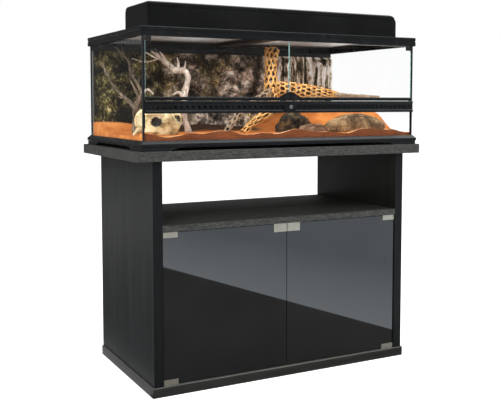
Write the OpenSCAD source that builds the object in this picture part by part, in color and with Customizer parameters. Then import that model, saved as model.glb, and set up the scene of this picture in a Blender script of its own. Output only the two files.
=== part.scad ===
// Low desert terrarium with hinged front doors, on a cabinet with glass doors, under a canopy light.
// X runs along the width, Y from front to back, Z up. The origin is on the floor, under the centre.

/* [Terrarium] */
// Width over the glass
glass_w = 896; // [600:4:1100]
// Depth over the glass
glass_d = 472; // [360:4:560]
// Height of the whole terrarium with its two frames
tank_h = 332; // [290:2:480]
// Thickness of the wall panes and of the doors
pane_t = 4; // [3:0.5:6]
// Thickness of the floor pane
floor_t = 5; // [4:0.5:8]
// Height of the bottom frame
foot_frame_h = 28; // [24:1:40]
// How far the bottom frame stands out past the glass
foot_bulge = 10; // [6:0.5:14]
// Height of the arches between the feet
foot_arch = 9; // [5:0.5:10]
// Height of the rim
rim_h = 26; // [24:1:32]
// How far the rim stands out past the glass
rim_out = 6; // [5:0.5:9]
// Width of the rim and screen members, seen from above
rim_in = 22; // [20:1:30]
// Width of the bar across the screen
crossbar_w = 46; // [30:1:70]

/* [Front] */
// Height of the underside of the vent strip above the terrarium's own base
strip_z = 101; // [80:1:140]
// Height of the vent strip
strip_h = 34; // [30:1:44]
// Distance from one vent slot to the next
slot_pitch = 17.4; // [14:0.2:24]
// Width of a vent slot
slot_w = 6.5; // [4:0.5:8]
// Height of the bottom rail of each door
rail_h = 10; // [8:0.5:14]
// Height of the finger grip above its rail
grip_h = 16; // [10:0.5:22]
// Half the width of the finger grip
grip_w = 38; // [28:1:50]
// Radius of the door hinge pins
door_pin_r = 2; // [1.5:0.1:2.2]
// Radius of the lock barrel
barrel_r = 5.5; // [4:0.1:7]

/* [Canopy light] */
// Length of the canopy
hood_l = 850; // [560:2:900]
// Depth of the canopy
hood_d = 185; // [170:1:240]
// Height of the canopy
hood_h = 78; // [74:1:110]
// Wall thickness of the canopy
hood_t = 3; // [2:0.2:4]
// Length of each fluorescent tube
tube_l = 742; // [400:1:760]
// Radius of each fluorescent tube
tube_r = 13; // [8:0.5:14]

/* [Cabinet] */
// Height of the underside of the top board above the floor
carcass_h = 650; // [500:5:800]
// Thickness of the carcass boards
board_t = 28; // [18:1:32]
// Thickness of the shelf
shelf_t = 18; // [15:1:28]
// Clear height of the open niche
niche_h = 176; // [120:2:240]
// Distance from the end of the top board to the side panel below it
side_inset = 50; // [20:1:70]
// Distance from the front of the top board to the front of the side panels
front_inset = 19; // [5:1:30]
// How far the base board stands out past the side panels
base_over = 4; // [0:1:10]
// Thickness of the glass of the cabinet doors
cab_glass_t = 5; // [4:0.5:8]
// Width of each door clip
clip_w = 43; // [35:1:60]
// Height of each pivot clip
clip_h = 14; // [12:0.5:20]
// Radius of the pivot pins of the cabinet doors
pivot_r = 3; // [2:0.1:4]

/* [Furnishing] */
// Depth of the sand above the floor pane at its level part
sand_h = 20; // [12:1:30]
// Thickness of the moulded rock background
rock_t = 14; // [10:1:20]

/* [Hidden] */
$fn = 48;

// clearances
gap = 0.3;          // between pieces that lie side by side
play = 0.05;        // around a pin in its bore
door_gap = 1;       // around the terrarium doors
cab_gap = 2;        // around the cabinet doors

// cabinet
top_margin = 12;    // top board past the bottom frame, at each end
top_lip = 2;        // and at the front and the back
top_w = glass_w + 2 * (foot_bulge + top_margin);
top_d = glass_d + 2 * (foot_bulge + top_lip - 1);
cab_w = top_w - 2 * side_inset;
cab_d = top_d - 2 * front_inset;
cab_in = cab_w / 2 - board_t;             // inner face of a side panel
shelf_top = carcass_h - niche_h;
shelf_low = shelf_top - shelf_t;
back_panel_t = 6;
base_z = carcass_h + board_t;             // where the terrarium stands

// cabinet doors
clip_t = 1.5;
door_inset = 4;                           // glass behind the front edges of the boards
door_front = -cab_d / 2 + door_inset;
cab_door_z0 = board_t + cab_gap;
cab_door_z1 = shelf_low - cab_gap;
pivot_edge = 10;                          // pivot axis from the edge of the glass
pivot_x = cab_in - cab_gap - pivot_edge;
pivot_y = door_front + cab_glass_t / 2;
pin_reach = 8;                            // length of a pivot pin
clip_web = 1.2;                           // fold of a clip over the edge of the glass
bush_r = 4.6;
bush_bore = pin_reach - cab_gap + clip_web + 2 * play;
strike_h = 23;
latch_w = 62; latch_d = 44; latch_h = 15; // twin push latch under the shelf
plunger_r = 5; plunger_x = 16; plunger_out = 9;

// terrarium
gx = glass_w / 2;
gy = glass_d / 2;
ledge_z = base_z + foot_arch + 1;         // underside of the ledge that carries the glass
floor_z = ledge_z + 3;
seal = 3;                                 // silicone in the corners
sand_z = floor_z + floor_t;
pane_top = base_z + tank_h - 10;
rim_z = base_z + tank_h - rim_h;
rim_top = base_z + tank_h;
web_z = pane_top + gap;                   // shelf of the rim above the glass
web_t = 3.7;
screen_z = web_z + web_t;
screen_h = rim_top - screen_z;
back_drop = 12;                           // the back rail is this much deeper, for the cable ways
back_z = rim_z - back_drop;
back_pane_top = back_z + 12;
way_w = 26; way_h = 11; way_x = gx - 100; way_z = back_pane_top + 4;

// front of the terrarium
strip_z0 = base_z + strip_z;
strip_z1 = strip_z0 + strip_h;
strip_y = -gy - 9;                        // front face of the strip
strip_wall = 2.5;
strip_back = -gy + pane_t + 5;
strip_end = gx - pane_t - gap;
slot_h = 7.5;
slot_lean = 4.5;
slot_z = strip_z0 + 17;
slot_first = 28;                          // first slot from the middle
slot_n = floor((strip_end - slot_first - 12) / slot_pitch) + 1;
front_top = strip_z0 + 4;                 // top edge of the low front pane
hinge_x = gx - pane_t - 7;
hinge_y = -gy + pane_t / 2;
door_edge = hinge_x + 3.5;                // outer edge of a door
door_mid = 0.8;                           // from the middle to a door's inner edge
rail_z = strip_z1 + door_gap;
rail_t = 10;
rail_y = hinge_y - rail_t / 2;
door_top = rim_z - door_gap;
clip_len = 16; clip_tall = 13; clip_deep = 8;
pin_len = 9;
notch_x = hinge_x - 8;                    // the glass is cut back this far around the pins

// lock
barrel_z = strip_z0 + 17;
boss_r = 11.5; boss_side = 10;             // round ends of the lock boss, and how far apart
boss_out = 1.2; barrel_out = 1.8;         // how far they stand out of the strip
cam_t = 2; cam_w = 34; cam_l = 30; cam_y = strip_back + 3;
keeper_t = 2; keeper_x = 33; keeper_y = cam_y + cam_t + 2;

// canopy
hood_x0 = 26;                             // its middle, right of the terrarium's
hood_y0 = -52;
hood_z = rim_top;
hood_x1 = hood_x0 - hood_l / 2;
hood_x2 = hood_x0 + hood_l / 2;
hood_y1 = hood_y0 - hood_d / 2;
hood_y2 = hood_y0 + hood_d / 2;
round_end = 26; round_back = 22; sharp_end = 5;
lip_z = 66; lip_in = 3;
tube_y = 42; tube_z = hood_z + 25;
socket_l = 22; socket_w = 30; socket_drop = 17;
sheet_z = 50;                             // flats of the reflector above the bottom of the canopy
sheet_t = 0.8;
ballast_l = 230; ballast_w = 60; ballast_h = 20;
switch_x = hood_x2 - 90; switch_z = hood_z + 44;
switch_w = 19; switch_h = 13; switch_deep = 16; rocker_tilt = 8;
gland_x = hood_x2 - 50; gland_r = 8; gland_bore = 3.6; gland_len = 16;

// ---------------------------------------------------------------- helpers

module at(x, y, z) { translate([x, y, z]) children(); }
module mirrored() { mirror([1, 0, 0]) children(); }
module bar(x1, x2, y1, y2, z1, z2) { translate([x1, y1, z1]) cube([x2 - x1, y2 - y1, z2 - z1]); }

// an outline given as [y, z] points, run along X
module along_x(x1, x2, pts) {
  translate([x1, 0, 0]) rotate([90, 0, 90]) linear_extrude(x2 - x1) polygon(pts);
}

// an outline given as [x, z] points, run along Y
module along_y(y1, y2, pts) {
  translate([0, y2, 0]) rotate([90, 0, 0]) linear_extrude(y2 - y1) polygon(pts);
}

// a ring of four mitred rails: the outline is [distance out from the glass, height]
module mitred_ring(hx, hy, pts) {
  far = hx + hy;
  for (side = [-1, 1]) {
    intersection() {
      translate([-far, side * hy, 0]) rotate([90, 0, 90]) linear_extrude(2 * far)
        polygon([for (p = pts) [side * p[0], p[1]]]);
      mitre(hx, hy, side, 0);
    }
    intersection() {
      translate([side * hx, far, 0]) rotate([90, 0, 0]) linear_extrude(2 * far)
        polygon([for (p = pts) [side * p[0], p[1]]]);
      mitre(hx, hy, side, 1);
    }
  }
}

// the wedge of plan that one rail of a mitred ring fills
module mitre(hx, hy, side, across) {
  e = 60;
  deep = hy - 1;
  linear_extrude(2000)
    if (across == 0)
      polygon([[-hx - e, side * (hy + e)], [hx + e, side * (hy + e)],
        [hx - deep, side * (hy - deep)], [-hx + deep, side * (hy - deep)]]);
    else
      polygon([[side * (hx + e), -hy - e], [side * (hx + e), hy + e],
        [side * (hx - deep), hy - deep], [side * (hx - deep), -hy + deep]]);
}

// a closed block on z = 0 whose top follows f(x, y)
module relief(w, d, nx, ny, f) {
  row = nx + 1;
  rim = concat([for (i = [0:nx - 1]) [i, 0]], [for (j = [0:ny - 1]) [nx, j]],
    [for (i = [nx:-1:1]) [i, ny]], [for (j = [ny:-1:1]) [0, j]]);
  n = len(rim);
  px = function(i) -w / 2 + w * i / nx;
  py = function(j) -d / 2 + d * j / ny;
  low = row * (ny + 1);
  points = concat(
    [for (j = [0:ny], i = [0:nx]) [px(i), py(j), f(px(i), py(j))]],
    [for (c = rim) [px(c[0]), py(c[1]), 0]], [[0, 0, 0]]);
  faces = concat(
    [for (j = [0:ny - 1], i = [0:nx - 1], h = [0, 1])
      let (a = j * row + i) h ? [a, a + row + 1, a + 1] : [a, a + row, a + row + 1]],
    [for (k = [0:n - 1], h = [0, 1])
      let (m = (k + 1) % n, p = rim[k][1] * row + rim[k][0], q = rim[m][1] * row + rim[m][0])
        h ? [p, low + m, low + k] : [p, q, low + m]],
    [for (k = [0:n - 1]) [low + n, low + k, low + (k + 1) % n]]);
  polyhedron(points, faces);
}

// a lump with a flat underside: r(a, e) is its radius at an angle round and an angle up
module lump(sx, sy, sz, nu, nv, r) {
  ring = [for (v = [1:nv - 1], u = [0:nu - 1])
    let (a = 360 * u / nu, e = -90 + 180 * v / nv, k = r(a, e))
      [sx * k * cos(e) * cos(a), sy * k * cos(e) * sin(a), max(0, sz * (0.35 + k * sin(e)))]];
  n = len(ring);
  points = concat(ring, [[0, 0, 0], [0, 0, sz * (0.35 + r(0, 90))]]);
  faces = concat(
    [for (v = [0:nv - 3], u = [0:nu - 1], h = [0, 1])
      let (a = v * nu + u, b = v * nu + (u + 1) % nu)
        h ? [a, b + nu, b] : [a, a + nu, b + nu]],
    [for (u = [0:nu - 1]) [n, u, (u + 1) % nu]],
    [for (u = [0:nu - 1]) let (t = n - nu) [n + 1, t + (u + 1) % nu, t + u]]);
  polyhedron(points, faces);
}

// a limb of wood through points of [x, y, z, radius]
module limb(pts, sides = 9) {
  for (i = [0:len(pts) - 2])
    hull() {
      for (p = [pts[i], pts[i + 1]])
        translate([p[0], p[1], p[2]]) sphere(p[3], $fn = sides);
    }
}

// a limb whose first point stands flat on the sand
module rooted_limb(pts, sides = 9) {
  foot = pts[0];
  hull() {
    translate([foot[0], foot[1], foot[2]]) cylinder(r = foot[3], h = 1, $fn = sides);
    translate([pts[1][0], pts[1][1], pts[1][2]]) sphere(pts[1][3], $fn = sides);
  }
  if (len(pts) > 2) limb([for (i = [1:len(pts) - 1]) pts[i]], sides);
}

function unit(v) = v / norm(v);

// a smooth curve through points of any length of vector, t from 0 to 1
function curve(p, t) = let (
    m = len(p) - 1, s = max(0, min(t * m, m - 0.0001)), i = floor(s), f = s - i,
    a = p[max(i - 1, 0)], b = p[i], c = p[i + 1], d = p[min(i + 2, m)])
  (2 * b + (c - a) * f + (2 * a - 5 * b + 4 * c - d) * f * f + (3 * b - a - 3 * c + d) * f * f * f) / 2;

// dried cactus stem along points of [x, y, z, radius]: a hollow net of bars around rows of oval holes,
// each row of holes turned one step against the last; ref is any direction across the stem
module net_stem(pts, ref, rows, wall) {
  sides = 12;
  rings = 2 * rows + 2;
  bar_part = 0.34;     // share of a row that the cross bars take
  bow = 0.15;          // how far the middle of a hole's end bows out
  stay = function(k, i) k >= 0 && k < rings - 1 && (k % 2 == 0 || (i + (k - 1) / 2) % 3 == 0);
  points = [for (k = [0:rings - 1], inside = [0, 1], i = [0:sides - 1])
    let (
      row = floor((k - 1) / 2),
      bent = k > 0 && k < rings - 1 && (i + row) % 3 == 2 ? (k % 2 == 1 ? -bow : bow) : 0,
      t = (floor(k / 2) + (k % 2) * bar_part + bent) / (rows + bar_part),
      q = curve(pts, t),
      run = curve(pts, t + 0.02) - curve(pts, t - 0.02),
      along = unit([run[0], run[1], run[2]]),
      u = unit(cross(ref, along)),
      w = cross(along, u),
      r = q[3] * (1 + 0.05 * sin(k * 67 + i * 90)) - inside * wall,
      a = 360 * i / sides)
    [q[0], q[1], q[2]] + r * (cos(a) * u + sin(a) * w)];
  out = function(k, i) k * 2 * sides + (i + sides) % sides;
  inn = function(k, i) out(k, i) + sides;
  quad = function(a, b, c, d) [[a, b, c], [a, c, d]];
  faces = [for (k = [0:rings - 2], i = [0:sides - 1]) if (stay(k, i))
    each concat(
      quad(out(k, i), out(k + 1, i), out(k + 1, i + 1), out(k, i + 1)),
      quad(inn(k, i), inn(k, i + 1), inn(k + 1, i + 1), inn(k + 1, i)),
      stay(k, i + 1 + (i + 1 == sides ? -sides : 0)) ? []
        : quad(out(k, i + 1), out(k + 1, i + 1), inn(k + 1, i + 1), inn(k, i + 1)),
      stay(k, i - 1 + (i == 0 ? sides : 0)) ? [] : quad(out(k + 1, i), out(k, i), inn(k, i), inn(k + 1, i)),
      stay(k + 1, i) ? [] : quad(out(k + 1, i + 1), out(k + 1, i), inn(k + 1, i), inn(k + 1, i + 1)),
      stay(k - 1, i) ? [] : quad(out(k, i), out(k, i + 1), inn(k, i + 1), inn(k, i)))];
  polyhedron(points, faces);
}

// ---------------------------------------------------------------- cabinet

ease = 1.5;   // eased edges of the boards

function board_outline(y1, y2, z1, z2) = [[y1 + ease, z1], [y2 - ease, z1], [y2, z1 + ease],
  [y2, z2 - ease], [y2 - ease, z2], [y1 + ease, z2], [y1, z2 - ease], [y1, z1 + ease]];

screw_x = cab_w / 2 - board_t / 2;
screw_ys = [for (k = [-1, 0, 1]) k * (cab_d / 2 - 50)];
screw_r = 3.5;
screw_len = 50;
screw_head_r = 5.5;
dowel_r = 4;
dowel_len = 30;
dowel_ys = [for (k = [-1.5, -0.5, 0.5, 1.5]) k * (cab_d / 3 - 20)];
shelf_dowel_z = shelf_top - shelf_t / 2;
shelf_dowel_ys = [-1, 1] * (cab_d / 2 - 60);

// screws and their holes: up through the base board into the side panels
module screws(extra) {
  for (sx = [-1, 1], y = screw_ys) at(sx * screw_x, y, 0) {
    at(0, 0, 2 - (extra > 0 ? 3 : 0))
      cylinder(r = screw_head_r + extra, h = 4 + (extra > 0 ? 3 : 0));
    at(0, 0, 5) cylinder(r = screw_r + extra, h = screw_len + extra);
  }
}

// dowels and their holes: side panels to top board, and shelf to side panels
module dowels(extra) {
  for (sx = [-1, 1]) {
    for (y = dowel_ys) at(sx * screw_x, y, carcass_h - dowel_len / 2 - extra)
      cylinder(r = dowel_r + extra, h = dowel_len + 2 * extra);
    for (y = shelf_dowel_ys) at(sx * cab_in, y, shelf_dowel_z) rotate([0, 90, 0])
      translate([0, 0, -dowel_len / 2 - extra])
        cylinder(r = dowel_r + extra, h = dowel_len + 2 * extra);
  }
}

// the four bores for the pivot bushes, in the base board and in the shelf
module bush_seats(extra) {
  for (sx = [-1, 1]) {
    at(sx * pivot_x, pivot_y, board_t - pin_reach - 2)
      cylinder(r = bush_r + extra, h = pin_reach + 2 + extra);
    at(sx * pivot_x, pivot_y, shelf_low - extra) cylinder(r = bush_r + extra, h = pin_reach + 2 + extra);
  }
}

module cabinet_base() {
  color("#22231f") difference() {
    along_x(-cab_w / 2 - base_over, cab_w / 2 + base_over,
      board_outline(-cab_d / 2 - base_over, cab_d / 2, 0, board_t));
    screws(play);
    bush_seats(play);
  }
}

module cabinet_side() {
  difference() {
    bar(-cab_w / 2, -cab_in, -cab_d / 2, cab_d / 2, board_t, carcass_h);
    screws(play);
    dowels(play);
  }
}

module cabinet_side_left() { color("#22231f") cabinet_side(); }
module cabinet_side_right() { color("#22231f") mirrored() cabinet_side(); }

module cabinet_top() {
  color("#3a3d38") difference() {
    along_x(-top_w / 2, top_w / 2, board_outline(-top_d / 2, top_d / 2, carcass_h, base_z));
    dowels(play);
  }
}

module cabinet_shelf() {
  color("#262724") difference() {
    bar(-cab_in, cab_in, -cab_d / 2, cab_d / 2, shelf_low, shelf_top);
    dowels(play);
    bush_seats(play);
  }
}

module cabinet_back_panel() {
  color("#1c1c1a") bar(-cab_in, cab_in, cab_d / 2 - back_panel_t, cab_d / 2, board_t, shelf_low);
}

module cabinet_screws() {
  color("silver") difference() {
    screws(0);
    for (sx = [-1, 1], y = screw_ys) at(sx * screw_x, y, 1) cylinder(r = 2.3, h = 3.5, $fn = 6);
  }
}

module cabinet_dowels() { color("burlywood") dowels(0); }

module pivot_bushes() {
  color("ivory") difference() {
    bush_seats(0);
    for (sx = [-1, 1]) {
      at(sx * pivot_x, pivot_y, board_t - bush_bore) cylinder(r = pivot_r + play, h = bush_bore + 1);
      at(sx * pivot_x, pivot_y, shelf_low - 1) cylinder(r = pivot_r + play, h = bush_bore + 1);
    }
  }
}

// ---------------------------------------------------------------- cabinet doors

module cabinet_door() {
  bar(-cab_in + cab_gap, -cab_gap / 2, door_front, door_front + cab_glass_t, cab_door_z0, cab_door_z1);
}

module cabinet_door_left() { color("#1c2226") cabinet_door(); }
module cabinet_door_right() { color("#1c2226") mirrored() cabinet_door(); }

// a folded metal clip over the edge of the glass at its outer corner, with the pivot pin
module pivot_clip(top) {
  z_edge = top ? cab_door_z1 : cab_door_z0;
  dir = top ? 1 : -1;
  x1 = -cab_in + cab_gap;
  z1 = top ? z_edge - clip_h : z_edge;
  bar(x1, x1 + clip_w, door_front - clip_t, door_front, z1, z1 + clip_h);
  bar(x1, x1 + clip_w, door_front + cab_glass_t, door_front + cab_glass_t + clip_t, z1, z1 + clip_h);
  bar(x1, x1 + clip_w, door_front - clip_t, door_front + cab_glass_t + clip_t,
    top ? z_edge : z_edge - clip_web, top ? z_edge + clip_web : z_edge);
  at(-pivot_x, pivot_y, z_edge + (top ? clip_web : -clip_web - pin_reach))
    cylinder(r = pivot_r, h = pin_reach);
  for (dx = [12, clip_w - 10]) at(x1 + dx, door_front + cab_glass_t + clip_t, z1 + clip_h / 2)
    rotate([-90, 0, 0]) cylinder(r = 4, h = 2);
}

module pivot_clips_left() { color("#b8a88c") { pivot_clip(true); pivot_clip(false); } }
module pivot_clips_right() { color("#b8a88c") mirrored() { pivot_clip(true); pivot_clip(false); } }

// the folded plate that the push latch holds
module strike_plate() {
  x2 = -cab_gap / 2;
  x1 = x2 - clip_w;
  z2 = cab_door_z1;
  bar(x1, x2, door_front - clip_t, door_front, z2 - strike_h, z2);
  bar(x1, x2, door_front + cab_glass_t, door_front + cab_glass_t + clip_t, z2 - strike_h, z2);
  bar(x1, x2, door_front - clip_t, door_front + cab_glass_t + clip_t, z2, z2 + clip_web);
}

module strike_plate_left() { color("#b8a88c") strike_plate(); }
module strike_plate_right() { color("#b8a88c") mirrored() strike_plate(); }

latch_y1 = door_front + cab_glass_t + clip_t + plunger_out + gap;
latch_z = shelf_low - latch_h / 2;
plunger_y1 = door_front + cab_glass_t + clip_t + gap;
plunger_len = plunger_out + 24;

module push_latch_body() {
  color("#2b2b2b") difference() {
    union() {
      bar(-latch_w / 2, latch_w / 2, latch_y1, latch_y1 + latch_d, shelf_low - latch_h, shelf_low);
      bar(-latch_w / 2 - 12, latch_w / 2 + 12, latch_y1 + 8, latch_y1 + latch_d - 8,
        shelf_low - 3, shelf_low);
      for (sx = [-1, 1]) at(sx * (latch_w / 2 + 6), latch_y1 + latch_d / 2, shelf_low - 5)
        cylinder(r = 3.5, h = 3);
    }
    for (sx = [-1, 1])
      at(sx * plunger_x, latch_y1 - 1, latch_z) rotate([-90, 0, 0])
        cylinder(r = plunger_r + play, h = plunger_len - plunger_out + 6);
  }
}

module latch_plunger() {
  at(-plunger_x, plunger_y1, latch_z) rotate([-90, 0, 0]) {
    cylinder(r = plunger_r, h = plunger_len);
  }
}

module latch_plunger_left() { color("#c8c8c4") latch_plunger(); }
module latch_plunger_right() { color("#c8c8c4") mirrored() latch_plunger(); }

// ---------------------------------------------------------------- terrarium body

foot_run = 74;      // length of a foot along each side
foot_slope = 44;    // length of the curve up to the arch
foot_pad = 36;      // size of the blocks under the corners
arch_steps = 10;

// outline of the space under the frame between two feet: an S-curve at each end
function arch_outline(half) = concat(
  [[-half + foot_run, -1]],
  [for (i = [0:arch_steps]) let (t = i / arch_steps)
    [-half + foot_run + foot_slope * t, foot_arch * (1 - cos(180 * t)) / 2]],
  [for (i = [arch_steps:-1:0]) let (t = i / arch_steps)
    [half - foot_run - foot_slope * t, foot_arch * (1 - cos(180 * t)) / 2]],
  [[half - foot_run, -1]]);

module bottom_frame() {
  skirt = 3.5;
  top_flat = 2;
  shoulder = foot_frame_h - 8.5;
  color("#3c3f3d") difference() {
    union() {
      mitred_ring(gx, gy, [
        [gap, foot_frame_h + base_z], [top_flat, foot_frame_h + base_z],
        [foot_bulge - 1, shoulder + 1 + base_z], [foot_bulge, shoulder + base_z],
        [foot_bulge, foot_arch + 4 + base_z], [foot_bulge - 2, foot_arch + 2 + base_z],
        [foot_bulge - 2, base_z], [foot_bulge - 2 - skirt, base_z],
        [foot_bulge - 2 - skirt, ledge_z], [-16, ledge_z], [-16, floor_z - gap], [gap, floor_z - gap]]);
      // blocks under the corners
      for (sx = [-1, 1], sy = [-1, 1])
        at(sx * (gx - foot_pad / 2 + 5), sy * (gy - foot_pad / 2 + 5), base_z + foot_arch / 2 + 0.5)
          cube([foot_pad, foot_pad, foot_arch + 1], center = true);
    }
    translate([0, 0, base_z]) {
      along_y(-gy - 2 * foot_bulge, gy + 2 * foot_bulge, arch_outline(gx + foot_bulge));
      rotate([0, 0, 90])
        along_y(-gx - 2 * foot_bulge, gx + 2 * foot_bulge, arch_outline(gy + foot_bulge));
    }
  }
}

module glass_floor() {
  color("#9fc4c0", 0.4)
    bar(-gx + pane_t, gx - pane_t, -gy + pane_t, gy - pane_t, floor_z, floor_z + floor_t);
}

module side_pane() { bar(-gx, -gx + pane_t, -gy, gy, floor_z, pane_top); }
module glass_left() { color("#9fc4c0", 0.35) side_pane(); }
module glass_right() { color("#9fc4c0", 0.35) mirrored() side_pane(); }

module glass_back() {
  color("#9fc4c0", 0.35)
    bar(-gx + pane_t, gx - pane_t, gy - pane_t, gy, floor_z, back_pane_top);
}

module glass_front() {
  color("#9fc4c0", 0.35)
    bar(-gx + pane_t, gx - pane_t, -gy, -gy + pane_t, floor_z, front_top);
}

// fillets of silicone in the inner corners, at the front only above the sand
module corner_seals() {
  x = gx - pane_t;
  y = gy - pane_t;
  front_z = sand_z + sand_h + 24;
  color("#1a1a1a") for (sx = [-1, 1]) {
    translate([sx * x, y, sand_z]) linear_extrude(back_pane_top - sand_z)
      polygon([[0, 0], [-sx * seal, 0], [0, -seal]]);
    translate([sx * x, -y, front_z]) linear_extrude(front_top - front_z - 5)
      polygon([[0, 0], [-sx * seal, 0], [0, seal]]);
  }
}

// ---------------------------------------------------------------- vent strip and lock

// one slanted slot, leaning to the left as it rises
module slot(lean) {
  along_y(strip_y - 5, strip_back + 5, [
    [-slot_w / 2 + lean / 2, -slot_h / 2], [slot_w / 2 + lean / 2, -slot_h / 2],
    [slot_w / 2 - lean / 2, slot_h / 2], [-slot_w / 2 - lean / 2, slot_h / 2]]);
}

module vent_strip() {
  yf = strip_y;
  yb = strip_back;
  z0 = strip_z0;
  z1 = strip_z1;
  w = strip_wall;
  color("#33373a") difference() {
    union() {
      // hollow section: lower lip, slotted face set back, upper lip
      difference() {
        along_x(-strip_end, strip_end, [
          [yf - 1, z0], [yf - 1, z0 + 6], [yf + 1, z0 + 8], [yf + 1, z1 - 7], [yf - 0.5, z1 - 5],
          [yf - 0.5, z1 - 1.5], [yf + 1, z1], [yb, z1], [yb, z0]]);
        along_x(-strip_end - 1, strip_end + 1, [
          [yf + 1 + w, z0 + 8], [yf + 1 + w, z1 - 4], [yb - w, z1 - 4], [yb - w, z0 + 8]]);
        // groove over the edge of the low pane
        bar(-strip_end - 1, strip_end + 1, -gy - gap, -gy + pane_t + gap, z0 - 1, front_top + gap);
      }
      // boss for the lock, right through the section
      at(0, yf - boss_out, barrel_z) rotate([-90, 0, 0]) linear_extrude(yb - yf + boss_out) {
        for (sx = [-1, 1]) translate([sx * boss_side, 0]) circle(boss_r);
        square([2 * boss_side, 2 * boss_r], center = true);
      }
    }
    for (sx = [-1, 1], i = [0:slot_n - 1])
      at(sx * (slot_first + i * slot_pitch), 0, slot_z) slot(-sx * slot_lean);
    at(0, yf - 3, barrel_z) rotate([-90, 0, 0]) cylinder(r = barrel_r + play, h = yb - yf + 4);
    // holes for the lower hinge pins
    for (sx = [-1, 1]) at(sx * hinge_x, hinge_y, z1 - 6) cylinder(r = door_pin_r + play, h = 8);
  }
}

module lock_barrel() {
  yf = strip_y - barrel_out;
  color("#b9bcc0") at(0, yf, barrel_z) difference() {
    rotate([-90, 0, 0]) cylinder(r = barrel_r, h = cam_y - yf);
    // keyway
    bar(-0.8, 0.8, -1, 8, -3.4, 3.4);
  }
}

// a flat paddle on the back end of the barrel, lying to the right at rest
module lock_cam() {
  color("#9a9c9e") at(0, cam_y, barrel_z) rotate([-90, 0, 0]) linear_extrude(cam_t) {
    translate([0, -cam_w / 2]) square([cam_l, cam_w]);
    circle(barrel_r + 3);
  }
}

// ---------------------------------------------------------------- hinges

block_x1 = hinge_x - 14;
block_x2 = strip_end;

module hinge_blocks() {
  color("#222") difference() {
    for (sx = [-1, 1]) {
      // top: inside the channel of the front rail
      bar(min(sx * block_x1, sx * block_x2), max(sx * block_x1, sx * block_x2),
        -gy - rim_out + 2.5 + gap, -gy + pane_t + 3, rim_z, web_z - gap);
      // bottom: inside the vent strip
      bar(min(sx * block_x1, sx * block_x2), max(sx * block_x1, sx * block_x2),
        strip_y + 1 + strip_wall + gap, strip_back - strip_wall - gap, strip_z0 + 8 + gap,
        strip_z1 - 4 - gap);
    }
    for (sx = [-1, 1]) {
      at(sx * hinge_x, hinge_y, rim_z - 1) cylinder(r = door_pin_r + play, h = 14);
      at(sx * hinge_x, hinge_y, strip_z1 - 16) cylinder(r = door_pin_r + play, h = 16);
    }
  }
}

module hinge_pins() {
  color("silver") for (sx = [-1, 1]) {
    at(sx * hinge_x, hinge_y, door_top - pin_len + 1) cylinder(r = door_pin_r, h = pin_len + 11);
    at(sx * hinge_x, hinge_y, strip_z1 - 15) cylinder(r = door_pin_r, h = 15 + pin_len - 1);
  }
}

// ---------------------------------------------------------------- terrarium doors

glass_z0 = rail_z + 4;
glass_z1 = door_top - 1;

module terrarium_door() {
  along_y(-gy, -gy + pane_t, [
    [-notch_x, glass_z0], [-door_mid, glass_z0], [-door_mid, glass_z1], [-notch_x, glass_z1],
    [-notch_x, door_top - clip_tall + 2], [-door_edge, door_top - clip_tall + 2],
    [-door_edge, rail_z + rail_h + gap], [-notch_x, rail_z + rail_h + gap]]);
}

module terrarium_door_left() { color("#9fc4c0", 0.35) terrarium_door(); }
module terrarium_door_right() { color("#9fc4c0", 0.35) mirrored() terrarium_door(); }

grip_steps = 14;
rib_r = 1.4;
rib_n = 5;
grip_y = rail_y - 3;

// half of the finger grip, a bell curve that rises to the middle of the front
module door_rail() {
  color("#2a2d2f") difference() {
    union() {
      along_x(-door_edge, -door_mid, [
        [rail_y, rail_z], [rail_y, rail_z + rail_h - 2], [rail_y + 2, rail_z + rail_h],
        [rail_y + rail_t - 1, rail_z + rail_h], [rail_y + rail_t, rail_z + rail_h - 1],
        [rail_y + rail_t, rail_z]]);
      along_y(grip_y, -gy - gap, concat([[-door_mid, rail_z]],
        [for (i = [0:grip_steps]) let (x = door_mid + (grip_w - door_mid) * i / grip_steps)
          [-x, rail_z + rail_h - 0.5 + grip_h * pow((1 + cos(180 * x / grip_w)) / 2, 0.8)]],
        [[-grip_w, rail_z]]));
      for (i = [0:rib_n - 1]) let (x = door_mid + 2 + i * 3.6)
        at(-x, grip_y, rail_z + 3) cylinder(r = rib_r, h = rail_h + grip_h * 0.62 - 0.55 * i - 3);
    }
    // groove for the glass
    bar(-notch_x - gap, 0, -gy - gap / 2, -gy + pane_t + gap / 2, glass_z0 - gap / 2, rail_z + rail_h + 40);
    at(-hinge_x, hinge_y, rail_z - 1) cylinder(r = door_pin_r + play, h = rail_h + 2);
  }
}

module door_rail_left() { door_rail(); }
module door_rail_right() { mirrored() door_rail(); }

// clip on the top outer corner, with the bore for the upper pin
module door_clip() {
  z1 = door_top - clip_tall;
  color("#222") difference() {
    bar(-door_edge, -door_edge + clip_len, hinge_y - clip_deep / 2, hinge_y + clip_deep / 2, z1, door_top);
    // room for the glass below and beside the solid corner
    bar(-door_edge - 1, -door_edge + clip_len + 1, -gy - play, -gy + pane_t + play, z1 - 1,
      door_top - clip_tall + 2 + play);
    bar(-notch_x - play, -door_edge + clip_len + 1, -gy - play, -gy + pane_t + play, z1 - 1, glass_z1 + play);
    at(-hinge_x, hinge_y, door_top - pin_len - 1) cylinder(r = door_pin_r + play, h = pin_len + 2);
  }
}

module door_clip_left() { door_clip(); }
module door_clip_right() { mirrored() door_clip(); }

// bracket behind the rail that the cam turns into
module lock_keeper() {
  back = rail_y + rail_t;
  color("#9a9c9e") {
    bar(-keeper_x - 3, -keeper_x, back, keeper_y + keeper_t, rail_z + 1, rail_z + rail_h - 1);
    bar(-keeper_x, -6, keeper_y, keeper_y + keeper_t, rail_z + 1, rail_z + rail_h - 1);
  }
}

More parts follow.
